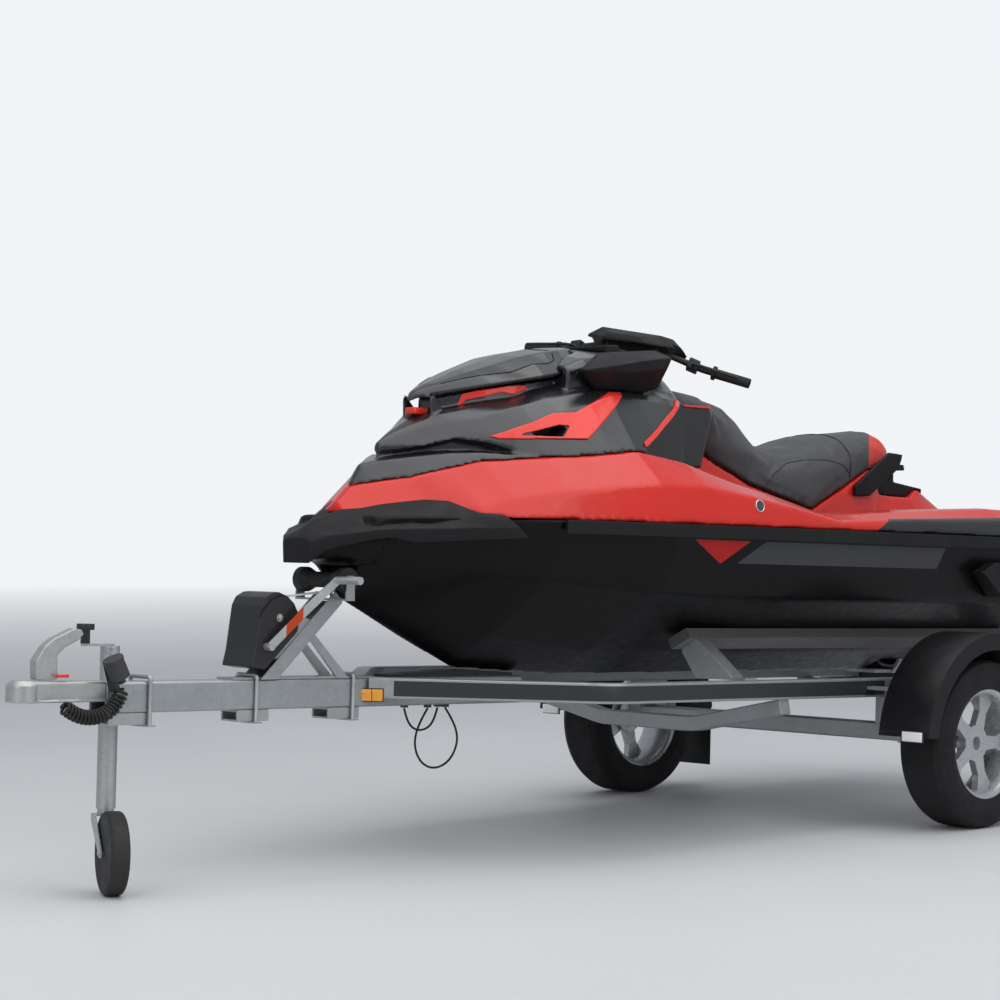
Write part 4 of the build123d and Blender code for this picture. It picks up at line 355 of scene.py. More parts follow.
# %% Foam mat
def foam_mat(name, colour, pitch=0.022):
    """Closed-cell foam with grooves that run fore and aft."""
    made = Finish(name, colour, 0.85)
    across = made.level("Y")
    groove = made.step(abs((across * (pi / pitch)).wave()), 0.0, 0.28)
    grain = made.noise(700, 2.0)
    # The grooves' bottoms are painted dark: painted shade in the grooves.
    made.tint(made.blend(groove, shade(colour, 0.4), shade(colour, 1.15)))
    made.relief(groove + grain * 0.12, 0.9, 0.0025)
    return made


# %% Webbing
def webbing(name, colour, weft=0.0032, warp=0.0024):
    """Woven strap: warp ribs along it, crossed by weft."""
    made = Finish(name, colour, 0.75, sheen=0.3)
    along = (made.level("X") * (tau / weft)).wave()
    across = (made.level("Y") * (tau / warp)).wave()
    weave = along * across
    made.tint(made.blend(made.step(weave, -1.0, 1.0), shade(colour, 0.7), shade(colour, 1.08)))
    made.relief(weave, 0.5, 0.0006)
    return made


# %% Vinyl
def vinyl(name, colour, red, red_front=0.545, red_slant=1.25):
    """The seat's cover: charcoal vinyl with a leather grain, and red at the tail's corners."""
    made = Finish(name, colour, 0.42, sheen=0.05, shine=0.6)
    hair = made.cells(620, "SMOOTH_F1")
    patch = made.noise(7, 5.0)
    dark = made.blend(patch, shade(colour, 0.75), shade(colour, 1.35))
    station = made.level("X") - TRANSOM / 1000
    width = abs(made.level("Y"))
    tail = (station - width * red_slant) < red_front
    made.tint(made.blend(tail, dark, (*red, 1.0)))
    made.rough(made.step(made.noise(18, 4.0), 0.3, 0.7, 0.42, 0.6))
    made.relief(hair * 0.5 + rain(made, 0.5) * 0.6, 0.4, 0.0009)
    return made


# %% Tyre
def tyre(name, colour, pitch=0.009, inner=0.215, outer=0.262):
    """Tyre rubber: flanks with fine rings between two radii, and a plain tread."""
    made = rubber(name, colour, 0.7)
    along = made.level("X")
    up = made.level("Z")
    radius = (along * along + up * up).maths("SQRT")
    rings = (radius * (tau / pitch)).wave() * (radius < outer) * (radius > inner)
    made.relief(rings * 0.35 + made.noise(260, 3.0) * 0.3, 0.35, 0.0009)
    return made


# %% [markdown]
# The record names one slot for each material. A table gives each slot its maker and values.

# %% Finish of each slot
RED = (0.62, 0.022, 0.013)
FINISHES = {
    "hull_black": (gelcoat, (0.0025, 0.0025, 0.003), 0.32, 0.3, 0.06, 0.12),
    "deck_red": (gelcoat, RED, 0.24, 0.6, 0.35, 0.25),
    "bumper_black": (moulded, (0.007, 0.007, 0.008), 0.5),
    "cowl_black": (moulded, (0.010, 0.0105, 0.012), 0.3, 1200, 0.8, 0.95),
    "trim_red": (gelcoat, (0.78, 0.03, 0.018), 0.2, 0.4),
    "bin_grey": (moulded, (0.10, 0.10, 0.10), 0.6),
    "seat_vinyl": (vinyl, (0.042, 0.043, 0.047), (0.6, 0.03, 0.018)),
    "mat_foam": (foam_mat, (0.06, 0.06, 0.064)),
    "engine_metal": (cast, (0.42, 0.42, 0.43), 0.55),
    "pump_metal": (cast, (0.5, 0.5, 0.52), 0.42),
    "impeller_steel": (cast, (0.62, 0.62, 0.64), 0.28, 700, 1.0),
    "bar_black": (moulded, (0.022, 0.022, 0.023), 0.42, 600, 0.3),
    "grip_rubber": (rubber, (0.02, 0.02, 0.02), 0.7, 800),
    "galvanised": (zinc, (0.37, 0.39, 0.40)),
    "coupling_zinc": (zinc, (0.44, 0.455, 0.445), 160, 0.36, 0.2),
    "webbing": (webbing, (0.6, 0.6, 0.58)),
    "plug_black": (moulded, (0.05, 0.05, 0.052), 0.5, 700, 0.2),
    "cord_black": (rubber, (0.016, 0.016, 0.016), 0.45, 900),
    "zinc_bright": (zinc, (0.42, 0.435, 0.44), 120, 0.38, 0.3),
    "jockey_rubber": (rubber, (0.03, 0.03, 0.03), 0.7),
    "tyre_rubber": (tyre, (0.010, 0.010, 0.011)),
    "rim_silver": (cast, (0.5, 0.505, 0.52), 0.3, 500, 0.65),
    "guard_plastic": (moulded, (0.008, 0.008, 0.009), 0.4, 500, 0.3),
    "bunk_carpet": (carpet, (0.05, 0.05, 0.052)),
    "roller_rubber": (rubber, (0.02, 0.02, 0.02), 0.6),
    "winch_black": (moulded, (0.02, 0.02, 0.021), 0.36, 600, 0.3, 0.2),
    "board_black": (moulded, (0.03, 0.03, 0.03), 0.5),
}
finishes = {slot: maker("finish_" + slot, *values) for slot, (maker, *values) in FINISHES.items()}
print("slots", len(finishes))

# %% [markdown]
# Some pieces carry a film or a coloured part. A mask made from level coordinates says where, and
# mixes a second colour over the first.


# %% Paint by place
def paint(finish, mask, colour, metallic=None):
    """Mix a colour over the finish where the mask is one."""
    old = finish.shader.inputs["Base Color"].links[0].from_socket
    finish.tint(finish.blend(mask, Flow(finish, old), (*colour, 1.0)))
    if metallic is not None:
        finish.metal(finish.step(mask, 0.0, 1.0, metallic, 0.0))


def sides(finish):
    """Station and height on the craft, and distance from its centre plane, in millimetres."""
    station = finish.level("X") * 1000 - TRANSOM
    height = (finish.level("Z") + HUB_Z) * 1000 - KEEL
    return station, height, abs(finish.level("Y")) * 1000


# %% Films on the hull's sides
FILM_LOW, FILM_HIGH, FILM_Y = 382, 455, 480
BAR_FRONT, BAR_FRONT_H, BAR_FRONT_SLANT = 1944, 384, 1.55
BAR_REAR, BAR_REAR_H, BAR_REAR_SLANT = 886, 379, 0.43
TIP_STATION, TIP_H, FRONT_SLANT, REAR_SLANT = 2025, 380, 1.85, 1.59
GREY_FILM, RED_FILM = (0.05, 0.052, 0.055), (0.42, 0.014, 0.012)
hull_finish = finishes["hull_black"]
station, height, width = sides(hull_finish)
flank = (width > FILM_Y) * (height > FILM_LOW) * (height < FILM_HIGH)
bar = flank * ((station + (height - BAR_FRONT_H) * BAR_FRONT_SLANT) < BAR_FRONT)
bar = bar * ((station + (height - BAR_REAR_H) * BAR_REAR_SLANT) > BAR_REAR)
rise = height - TIP_H
triangle = flank * ((station + rise * REAR_SLANT) > TIP_STATION)
triangle = triangle * ((station - rise * FRONT_SLANT) < TIP_STATION)
paint(hull_finish, bar, GREY_FILM)
paint(hull_finish, triangle, RED_FILM)

# %% Grey inset on the deck's rear flank
INSET_Y, INSET_REAR, INSET_TOP = 500, 30, 574
TOP_AT_TRANSOM, TOP_FALL = 589, 0.034
INSET_FRONT, INSET_FRONT_H, INSET_FRONT_SLANT = 1230, 520, 2.1
INSET_GREY = (0.02, 0.021, 0.023)
deck_finish = finishes["deck_red"]
station, height, width = sides(deck_finish)
inset = (width > INSET_Y) * (station > INSET_REAR) * (height < INSET_TOP)
inset = inset * ((height + station * TOP_FALL) < TOP_AT_TRANSOM)
inset = inset * ((station + (height - INSET_FRONT_H) * INSET_FRONT_SLANT) < INSET_FRONT)
paint(deck_finish, inset, INSET_GREY)

# %% Black film on the rails, edged with a pale line
RAIL_OUTER_Y = 578
SLANT_X, SLANT_Y, SLANT_REACH = 0.7177, 0.6963, 1525
BAND_FOOT, BAND_TOP, BAND_BACK, BAND_NOSE = 441, 494, 218, 2048
LINE_HIGH, LINE_LONG = 3, 4
ZINC_METALLIC = 0.7
PALE_EDGE, FILM_BLACK = (0.35, 0.36, 0.36), (0.02, 0.02, 0.022)
rail_finish = zinc("finish_rails", (0.37, 0.39, 0.40))
x = rail_finish.level("X") * 1000
z = (rail_finish.level("Z") + HUB_Z) * 1000
y = abs(rail_finish.level("Y")) * 1000
outer = (y > RAIL_OUTER_Y) + ((x * SLANT_X + y * SLANT_Y) > SLANT_REACH)
band = outer * (z < BAND_TOP) * (z > BAND_FOOT) * (x > BAND_BACK) * (x < BAND_NOSE)
inside = outer * (z < BAND_TOP - LINE_HIGH) * (z > BAND_FOOT + LINE_HIGH)
inside = inside * (x > BAND_BACK + LINE_LONG) * (x < BAND_NOSE - LINE_LONG)
paint(rail_finish, band > 0.5, PALE_EDGE)
paint(rail_finish, inside > 0.5, FILM_BLACK, ZINC_METALLIC)

# %% Black knob of the jockey crank, and the winch crank's band
KNOB_FOOT = 602
ORANGE_REAR, ORANGE_FRONT = 2404, 2465
knob_finish = zinc("finish_jockey_crank", (0.42, 0.435, 0.44), 120, 0.38)
knob = ((knob_finish.level("Z") + HUB_Z) * 1000) > KNOB_FOOT
paint(knob_finish, knob, (0.015, 0.015, 0.016), ZINC_METALLIC)
crank_finish = zinc("finish_winch_crank", (0.5, 0.515, 0.52), 120, 0.36)
x = crank_finish.level("X") * 1000
paint(crank_finish, (x > ORANGE_REAR) * (x < ORANGE_FRONT), (0.6, 0.075, 0.02))

# %% Give every node its finish
own_finish = {"side_rails": rail_finish, "jockey_crank": knob_finish, "winch_crank": crank_finish}
for name, obj in nodes.items():
    obj.data.materials.clear()
    obj.data.materials.append(own_finish.get(name, finishes[slot_of[name]]).material)
print("nodes finished", len(nodes))

# %% [markdown]
# ## Making pieces
# A piece starts as a primitive, level and at its place, is shaped in edit mode and then settled: its
# mesh is tipped with the trailer, its object goes to the origin, and it gets a finish and a body.


# %% Start and settle a piece
def alone(obj):
    """Select one object and make it the active one."""
    bpy.ops.object.select_all(action="DESELECT")
    obj.select_set(True)
    bpy.context.view_layer.objects.active = obj


def settle(obj, name, slot, body=HOME, finish=None, smooth=35, tip=True):
    """Tip a level piece into place, then name it, finish it and let it ride."""
    alone(obj)
    bpy.ops.object.convert(target="MESH")
    place = obj.matrix_world.copy()
    obj.data.transform(TIP @ place if tip else place)
    obj.matrix_world = Matrix()
    obj.name = name
    obj.data.name = name
    obj.data.materials.clear()
    obj.data.materials.append((finish or finishes[slot]).material)
    alone(obj)
    bpy.ops.object.shade_smooth_by_angle(angle=radians(smooth))
    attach(obj, body)
    return obj


def modify(obj, kind, **settings):
    """Add a modifier, set it and apply it."""
    alone(obj)
    modifier = obj.modifiers.new(kind.lower(), kind)
    for key, value in settings.items():
        setattr(modifier, key, value)
    bpy.ops.object.modifier_apply(modifier=modifier.name)
    return obj


def block(low, high, bevel=0.002, segments=3):
    """A box between two level corners, its edges rounded in edit mode."""
    bpy.ops.object.select_all(action="DESELECT")
    low, high = Vector(low), Vector(high)
    bpy.ops.mesh.primitive_cube_add(size=1, location=(low + high) / 2)
    obj = bpy.context.object
    bpy.ops.object.mode_set(mode="EDIT")
    bpy.ops.mesh.select_all(action="SELECT")
    bpy.ops.transform.resize(value=tuple(high - low))
    bpy.ops.mesh.bevel(offset=bevel, segments=segments, affect="EDGES")
    bpy.ops.object.mode_set(mode="OBJECT")
    return obj


def joined(pieces):
    """Join several level pieces into one object."""
    bpy.ops.object.select_all(action="DESELECT")
    for piece in pieces:
        piece.select_set(True)
    bpy.context.view_layer.objects.active = pieces[0]
    bpy.ops.object.join()
    return bpy.context.object


print("makers ready")

# %% [markdown]
# ## Cords
# A black curly lead runs from the coupling to the plug clipped on the drawbar's side, and two plain
# cables loop out of the drawbar ahead of the frame. Each route is a few points and a smooth NURBS
# spline through them. The curly lead is a helix round its route, so the route's line is read first.


# %% A smooth line
def spline_of(name, points, thickness=0.0, tipped=False):
    """A curve of one NURBS spline. Its controls are level, in millimetres, or already tipped."""
    data = bpy.data.curves.new(name, "CURVE")
    data.dimensions = "3D"
    data.resolution_u = 8
    data.bevel_depth = thickness / 2
    data.bevel_resolution = 4
    data.use_fill_caps = True
    spline = data.splines.new("NURBS")
    spline.points.add(len(points) - 1)
    for control, point in zip(spline.points, points):
        control.co = (*(point if tipped else TIP @ ahead(*point)), 1)
    spline.order_u = 3
    spline.use_endpoint_u = True
    obj = bpy.data.objects.new(name, data)
    bpy.context.scene.collection.objects.link(obj)
    return obj


def line_of(curve):
    """The points along a curve that has no bevel."""
    bpy.context.view_layer.update()
    mesh = bpy.data.meshes.new_from_object(curve)
    points = [v.co.copy() for v in mesh.vertices]
    bpy.data.meshes.remove(mesh)
    return points


def length_of(points):
    return sum((b - a).length for a, b in zip(points, points[1:]))


def finished_curve(obj, slot, body=HOME):
    obj.data.materials.append(finishes[slot].material)
    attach(obj, body)
    return obj


print("curve helpers ready")


# %% Helix round a line
def helix(line, turns, radius, per_turn=14):
    """Points wound round a line, which start and end on it."""
    steps = turns * per_turn
    total = length_of(line)
    side = Vector((0, 1, 0))
    wound = []
    index, passed = 0, 0.0
    for step in range(steps + 1):
        goal = total * step / steps
        while index < len(line) - 2 and passed + (line[index + 1] - line[index]).length < goal:
            passed += (line[index + 1] - line[index]).length
            index += 1
        along = (line[index + 1] - line[index]).normalized()
        place = line[index] + along * (goal - passed)
        side = (side - along * side.dot(along)).normalized()
        up = along.cross(side)
        ease = min(1.0, step / per_turn, (steps - step) / per_turn)
        angle = tau * step / per_turn
        wound.append(place + (side * cos(angle) + up * sin(angle)) * radius * ease)
    return wound


# %% [markdown]
# The plug at the lead's end is a relaxed copy of its solid: the copy is remeshed into small even
# squares and smoothed, which rounds its edges. The mouldings of the craft are made the same way.


# %% Relaxed copy of a solid
def relaxed(node, voxel, passes, name=None):
    """A smooth copy of a CAD node, remeshed at a voxel's size and relaxed so many times."""
    mesh = nodes[node].data.copy()
    obj = bpy.data.objects.new(name or node + "_skin", mesh)
    bpy.context.scene.collection.objects.link(obj)
    modify(obj, "WELD", merge_threshold=0.00005)
    modify(obj, "REMESH", mode="VOXEL", voxel_size=voxel)
    modify(obj, "SMOOTH", factor=0.5, iterations=passes)
    settle(obj, obj.name, slot_of[node], body_of[node], smooth=60, tip=False)
    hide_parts(node)
    return obj


plug_skin = relaxed("lead_plug", 0.0016, 5)

# %% Curly lead
LEAD_ROUTE = ((3246, 71, 438), (3205, 72, 407), (3130, 72, 399), (3066, 72, 427), (3042, 72, 480))
LEAD_WIRE = 0.0095
LEAD_TURNS = 20
LEAD_RADIUS = 0.018
lead_line = spline_of("lead_line", LEAD_ROUTE)
lead_points = helix(line_of(lead_line), LEAD_TURNS, LEAD_RADIUS)
bpy.data.objects.remove(lead_line)
curly_lead = spline_of("curly_lead", lead_points, LEAD_WIRE, tipped=True)
curly_lead.data.resolution_u = 2
finished_curve(curly_lead, "cord_black")
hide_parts("lead_coil")
lead_length = length_of(lead_points)
print("curly lead", round(lead_length, 3), "m")

# %% Cables under the drawbar
CABLE = 0.007
CABLE_ROUTES = {
    "frame_cable_front": ((1900, 0, 398), (1886, 0, 354), (1846, 0, 326), (1797, 0, 332), (1768, 0, 362),
                          (1757, 0, 398)),
    "frame_cable_rear": ((1824, 26, 398), (1862, 26, 350), (1880, 26, 285), (1850, 26, 228),
                         (1790, 26, 205), (1722, 26, 228), (1686, 26, 290), (1706, 26, 352),
                         (1748, 26, 398)),
}
for cable_name, route in CABLE_ROUTES.items():
    bare = spline_of("bare_cable", route)
    cable_length = length_of(line_of(bare))
    bpy.data.objects.remove(bare)
    cable = finished_curve(spline_of(cable_name.replace("frame", "loop"), route, CABLE), "cord_black")
    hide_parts(cable_name)
    tuple(TIP @ ahead(*route[0]))
    print(cable_name, round(cable_length, 3), "m")

# %% [markdown]
# ## Smooth mouldings
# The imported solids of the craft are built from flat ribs. The real ones are moulded, so their edges
# are rounded and their faces flow. A relaxed copy stands in for each solid. Voxel size in metres and
# smoothing passes are chosen by how thin its walls are.

# %% Skins of the mouldings
SKINS = {
    "hull": (0.0095, 12),
    "deck": (0.0085, 7),
    "front_cowl": (0.006, 5),
    "hood": (0.0038, 6),
    "dash_pods": (0.004, 6),
    "handlebar_cover": (0.003, 7),
    "grab_handle": (0.004, 7),
    "sponsons": (0.004, 5),
    "controls": (0.0022, 5),
    "reverse_gate": (0.003, 4),
    "winch_box": (0.0028, 6),
    "red_trims": (0.0022, 3),
    "coupling_lever": (0.0022, 6),
    "coupling_head": (0.0022, 4),
}
HULL_DRAWN_IN = -0.001
skins = {node: relaxed(node, voxel, passes) for node, (voxel, passes) in SKINS.items()}
modify(skins["hull"], "DISPLACE", strength=HULL_DRAWN_IN, mid_level=0.0)
print("skins", sum(len(skin.data.polygons) for skin in skins.values()))

# %% [markdown]
# The bumper's solid thins to nothing where it lies on the deck and hull. A skin needs a wall there,
# so this one is lofted whole from the same stations, runs on inside the hull, and stands 4 mm proud.

# %% Bow bumper
# Columns: station, centre height, inner y and height, ridge y and height, outer y and height,
# lower y and height
BUMPER = (
    (2780, 500, 442, 508, 450, 506, 468, 478, 464, 446),
    (2877, 498, 414, 508, 430, 506, 442, 470, 438, 440),
    (2930, 500, 372, 512, 379, 502, 404, 468, 400, 437),
    (2963, 535, 270, 546, 346, 498, 378, 468, 374, 434),
    (3000, 538, 205, 549, 310, 495, 350, 464, 346, 430),
    (3097, 520, 125, 532, 215, 487, 284, 460, 280, 423),
    (3150, 506, 82, 518, 163, 480, 240, 458, 236, 436),
    (3190, 500, 40, 513, 122, 472, 205, 454, 202, 430),
    (3255, 484, 24, 482, 58, 458, 140, 440, 138, 410),
    (3299, 456, 20, 452, 50, 440, 98, 432, 96, 392),
    (3332, 424, 10, 424, 44, 421, 60, 412, 58, 352),
)
corners, panels = [], []
for st, centre, inner_y, inner_h, ridge_y, ridge_h, outer_y, outer_h, low_y, low_h in BUMPER:
    half = [(low_y, low_h), (outer_y, outer_h), (ridge_y, ridge_h), (inner_y, inner_h)]
    ring = [(0, low_h)] + half + [(0, centre)] + [(-y, height) for y, height in reversed(half)]
    corners += [craft(st, y, height) for y, height in ring]
count = len(ring)
for row in range(len(BUMPER) - 1):
    for n in range(count):
        near, far = row * count + n, row * count + (n + 1) % count
        panels.append((near, far, far + count, near + count))
panels += [tuple(range(count)), tuple(range(len(corners) - count, len(corners)))]
mesh = bpy.data.meshes.new("bumper")
mesh.from_pydata(corners, [], panels)
bumper = bpy.data.objects.new("bumper_moulding", mesh)
bpy.context.scene.collection.objects.link(bumper)
alone(bumper)
bpy.ops.object.mode_set(mode="EDIT")
bpy.ops.mesh.select_all(action="SELECT")
slant_foot, slant_top = craft(2786, 0, 430), craft(2880, 0, 508)
slope = slant_top - slant_foot
bpy.ops.mesh.bisect(plane_co=tuple(slant_foot), plane_no=(slope.z, 0, -slope.x), use_fill=True,
                    clear_inner=True)
bpy.ops.mesh.select_all(action="SELECT")
bpy.ops.mesh.normals_make_consistent(inside=False)
bpy.ops.object.mode_set(mode="OBJECT")
PROUD = 0.004
BUMPER_EDGE = 0.003
modify(bumper, "DISPLACE", strength=PROUD, mid_level=0.0)
modify(bumper, "BEVEL", width=BUMPER_EDGE, segments=2, limit_method="ANGLE", angle_limit=radians(8))
settle(bumper, "bumper_moulding", "bumper_black", smooth=35)
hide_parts("bow_bumper")
print("bumper", len(bumper.data.polygons))

# %% [markdown]
# Steel sections, the rims and the guards keep their solids. A Weld and a Bevel modifier round their
# edges, so that each edge catches a line of light.

# %% Rounded edges of the steelwork
EDGES = {
    "side_rails": 0.004, "drawbar": 0.005, "cross_beams": 0.004, "axle_beam": 0.004, "suspension_arms": 0.003,
    "frame_brackets": 0.0015, "winch_post": 0.0015, "jockey_clamp": 0.001, "jockey_crank": 0.0012,
    "jockey_fork": 0.001, "rim_port": 0.002, "rim_starboard": 0.002, "mudguards": 0.0015, "bunks": 0.006,
    "keel_pad": 0.003, "light_board": 0.003, "winch_crank": 0.001, "drawbar_clamps": 0.001,
    "rub_rails": 0.002, "deck_mats": 0.001, "intake_grate": 0.001, "cable_fittings": 0.001,
    "bow_eye": 0.001, "storage_bin": 0.0015, "engine_block": 0.008,
}
for node, width in EDGES.items():
    weld = nodes[node].modifiers.new("weld", "WELD")
    weld.merge_threshold = 0.00005
    bevel = nodes[node].modifiers.new("bevel", "BEVEL")
    bevel.width = width
    bevel.segments = 2
    bevel.limit_method = "ANGLE"
    bevel.angle_limit = radians(40)
print("bevelled", len(EDGES))

# %% [markdown]
# ## Seat
# The saddle is a foam pad under stitched vinyl. The pad is a relaxed copy of its solid that cloth
# simulation blows up slightly, so its faces crown. Seams are laid on afterwards: a point finds the
# cover by a ray, and a thin welt follows the points.

# %% Padded seat
SEAT_SWELL = 0.008
SEAT_FOOT_Z = 1.12
TICKS = 20
seat_body = body_of["seat"]
seat = relaxed("seat", 0.0055, 10, "saddle")
before = [v.co.copy() for v in seat.data.vertices]
alone(seat)
cloth = seat.modifiers.new("cloth", "CLOTH")
cloth.settings.quality = 4
cloth.settings.mass = 0.3
cloth.settings.tension_stiffness = 30
cloth.settings.compression_stiffness = 30
cloth.settings.bending_stiffness = 8
cloth.settings.use_pressure = True
cloth.settings.uniform_pressure_force = 4
cloth.settings.effector_weights.gravity = 0
cloth.collision_settings.use_collision = False
for tick in range(1, TICKS + 1):
    bpy.context.scene.frame_set(tick)
bpy.ops.object.modifier_apply(modifier=cloth.name)
bpy.context.scene.frame_set(1)
for vertex, start in zip(seat.data.vertices, before):
    move = vertex.co - start
    if (LEVEL @ start).z < SEAT_FOOT_Z:
        move.z = max(0.0, move.z)
    if move.length > SEAT_SWELL:
        move *= SEAT_SWELL / move.length
    vertex.co = start + move
modify(seat, "SMOOTH", factor=0.5, iterations=4)
print("seat", len(seat.data.polygons), [round(c, 3) for c in seat.dimensions])


# %% Seams by rays
def tree_of(obj):
    bpy.context.view_layer.update()
    return BVHTree.FromObject(obj, bpy.context.evaluated_depsgraph_get())


def on_surface(tree, start, towards):
    """Where a ray from a level place meets a surface, in the row frame, or None."""
    return tree.ray_cast(TIP @ start, (TIP.to_3x3() @ towards).normalized())[0]


def hits_of(tree, starts, towards):
    """Where parallel rays from level places meet a surface. A ray that misses it is left out."""
    found = [on_surface(tree, start, towards) for start in starts]
    return [place for place in found if place is not None]


def welt(name, points, radius, slot, body, finish=None):
    """A thin round strip along points in the row frame."""
    obj = spline_of(name, points, radius * 2, tipped=True)
    obj.data.bevel_resolution = 2
    obj.data.resolution_u = 3
    return settle(obj, name, slot, body, finish, tip=False)


def along(points, steps):
    """Even points on the straight runs between level places."""
    made = []
    for a, b in zip(points, points[1:]):
        made += [a.lerp(b, i / steps) for i in range(steps)]
    return made + [points[-1]]


seat_tree = tree_of(seat)
stitching = moulded("seam_thread", (0.012, 0.012, 0.013), 0.6)

# %% Seams of the seat
SIDES = ((1, "port"), (-1, "starboard"))
OUTSIDE_Y = 420
SEAM_R, WELT_R = 0.0016, 0.0032
PANEL_SEAM = ((1345, 648), (1300, 700), (1210, 742), (1130, 757), (1030, 762), (950, 748), (885, 712))
for side, word in SIDES:
    starts = along([craft(st, OUTSIDE_Y * side, height) for st, height in PANEL_SEAM], 5)
    hits = hits_of(seat_tree, starts, Vector((0, -side, 0)))
    welt(f"panel_seam_{word}", hits, SEAM_R, "seat_vinyl", seat_body, stitching)
# The welt across the saddle: rays fan out of a point in the pad, in a plane that leans back
WELT_HEART = craft(893, 0, 742)
WELT_LEAN = Vector((0.04, 0, -1)).normalized()
WELT_TURNS = [radians(turn) for turn in range(-112, 113, 8)]
fan = [Vector((0, sin(turn), 0)) - WELT_LEAN * cos(turn) for turn in WELT_TURNS]
hits = [on_surface(seat_tree, WELT_HEART, ray) for ray in fan]
hits = [place for place in hits if place is not None]
welt("saddle_welt", hits, WELT_R, "seat_vinyl", seat_body, stitching)
print("seams", len(hits))

# %% [markdown]
# ## Strap
# The winch strap is flat webbing, pulled tight from the drum to the bow eye. It is a thin grid with
# a slight crown across it, made as thick as the webbing.

# %% Winch strap
STRAP_W = 0.05
STRAP_T = 0.0016
STRAP_CROWN = 0.0007
STRAP_ENDS = (ahead(2404, 0, 743.4), ahead(2222.5, 0, 762))
strap_run = STRAP_ENDS[1] - STRAP_ENDS[0]
bpy.ops.object.select_all(action="DESELECT")
bpy.ops.mesh.primitive_grid_add(x_subdivisions=40, y_subdivisions=8, size=1)
strap = bpy.context.object
for vertex in strap.data.vertices:
    share, across = vertex.co.x + 0.5, vertex.co.y * 2
    middle = STRAP_ENDS[0] + strap_run * share
    vertex.co = middle + Vector((0, across * STRAP_W / 2, -STRAP_CROWN * across * across))
modify(strap, "SOLIDIFY", thickness=STRAP_T, offset=0.0)
settle(strap, "strap", "webbing")
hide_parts("winch_strap")
print("strap", round(strap_run.length, 3))

# %% [markdown]
# ## Small pieces of the trailer
# Reflectors and marker lamps are clear or amber lenses moulded with fine prisms over a dark back.
# The lens is a rounded block, and its prisms are a small grid in the bump, and in the colour as painted
# glints and painted shade.


# %% Lens finish
def lens(name, colour, pitch=0.004):
    """A moulded lens: prisms under a smooth face, with painted glints and painted shade."""
    made = Finish(name, colour, 0.12, coat=1.0)
    across = (made.level("Y") * (pi / pitch)).wave()
    up = (made.level("Z") * (pi / pitch)).wave()
    ahead_wave = (made.level("X") * (pi / pitch)).wave()
    prism = abs(up * (abs(across) + abs(ahead_wave)))
    # The prism grid lightens and darkens the lens colour: painted glints on the prisms and painted shade
    # between them.
    made.tint(made.blend(made.step(prism, 0.0, 1.0), shade(colour, 0.6), shade(colour, 1.25)))
    made.relief(prism, 0.4, 0.001)
    return made


amber = lens("amber_lens", (0.95, 0.33, 0.01))
clear = lens("clear_lens", (0.86, 0.88, 0.9))
lamp_back = moulded("lamp_back", (0.03, 0.03, 0.03), 0.5)

# %% Reflectors on the rails' noses and lamps on the guards
# Columns: name, ends along the slanted face, foot and top, depths over the centre, finish
REFLECTOR = (
    ("reflector_back", -1449, -1377, 425, 467, 1541.4, 1544, lamp_back),
    ("reflector_0", -1446, -1414, 428, 464, 1543.6, 1549, amber),
    ("reflector_1", -1412, -1380, 428, 464, 1543.6, 1549, amber),
)
# Columns: name, rear and front, inner and outer y, foot and top, finish
MARKER = (
    ("marker_back", 376.4, 382, 790, 876, 300, 338, lamp_back),
    ("marker", 381, 387, 793, 873, 303, 335, clear),
)
REFLECTOR_EDGE, MARKER_EDGE = 0.0012, 0.002
FACE_TURN = atan2(SLANT_Y, SLANT_X)
for side, word in SIDES:
    turned = Matrix.Rotation(side * FACE_TURN, 4, "Z")
    for piece_name, start, end, low, high, near, out, finish in REFLECTOR:
        y_in, y_out = sorted((side * start, side * end))
        piece = block(ahead(near, y_in, low), ahead(out, y_out, high), REFLECTOR_EDGE)
        piece.data.transform(turned @ Matrix.Translation(piece.location))
        piece.location = (0, 0, 0)
        settle(piece, f"{piece_name}_{word}", "plug_black", finish=finish)
    for piece_name, rear, front, start, end, low, high, finish in MARKER:
        y_in, y_out = sorted((side * start, side * end))
        piece = block(ahead(rear, y_in, low), ahead(front, y_out, high), MARKER_EDGE)
        settle(piece, f"{piece_name}_{word}", "plug_black", finish=finish)
print("lamps ready")

# %% [markdown]
# A hexagon bolt's head has a chamfered rim and stands on a washer. One is modelled level at the
# origin from a disc and a six-sided cylinder, and copied to each place with its own mesh.

# %% Pattern bolt
HEAD_R, HEAD_H, HEAD_CHAMFER = 0.007, 0.005, 0.00084
WASHER_R, WASHER_H = 0.01015, 0.0014
bpy.ops.object.select_all(action="DESELECT")
bpy.ops.mesh.primitive_cylinder_add(vertices=24, radius=WASHER_R, depth=WASHER_H)
washer = bpy.context.object
bpy.ops.object.select_all(action="DESELECT")
bpy.ops.mesh.primitive_cylinder_add(vertices=6, radius=HEAD_R, depth=HEAD_H, location=(0, 0, HEAD_H / 2))
head = bpy.context.object
bpy.ops.object.mode_set(mode="EDIT")
bpy.ops.mesh.select_all(action="SELECT")
bpy.ops.mesh.bevel(offset=HEAD_CHAMFER, segments=2, affect="EDGES")
bpy.ops.object.mode_set(mode="OBJECT")
pattern_bolt = joined([washer, head])


# %% Bolts
def bolts(name, places, size=1.0):
    """One object of bolt heads at level places, each with the direction that it faces."""
    made = []
    for place, facing in places:
        copy = pattern_bolt.copy()
        copy.data = pattern_bolt.data.copy()
        bpy.context.scene.collection.objects.link(copy)
        turned = Vector(facing).to_track_quat("Z", "Y").to_matrix().to_4x4()
        copy.matrix_world = Matrix.Translation(place) @ turned @ Matrix.Scale(size, 4)
        made.append(copy)
    return settle(joined(made), name, "zinc_bright")


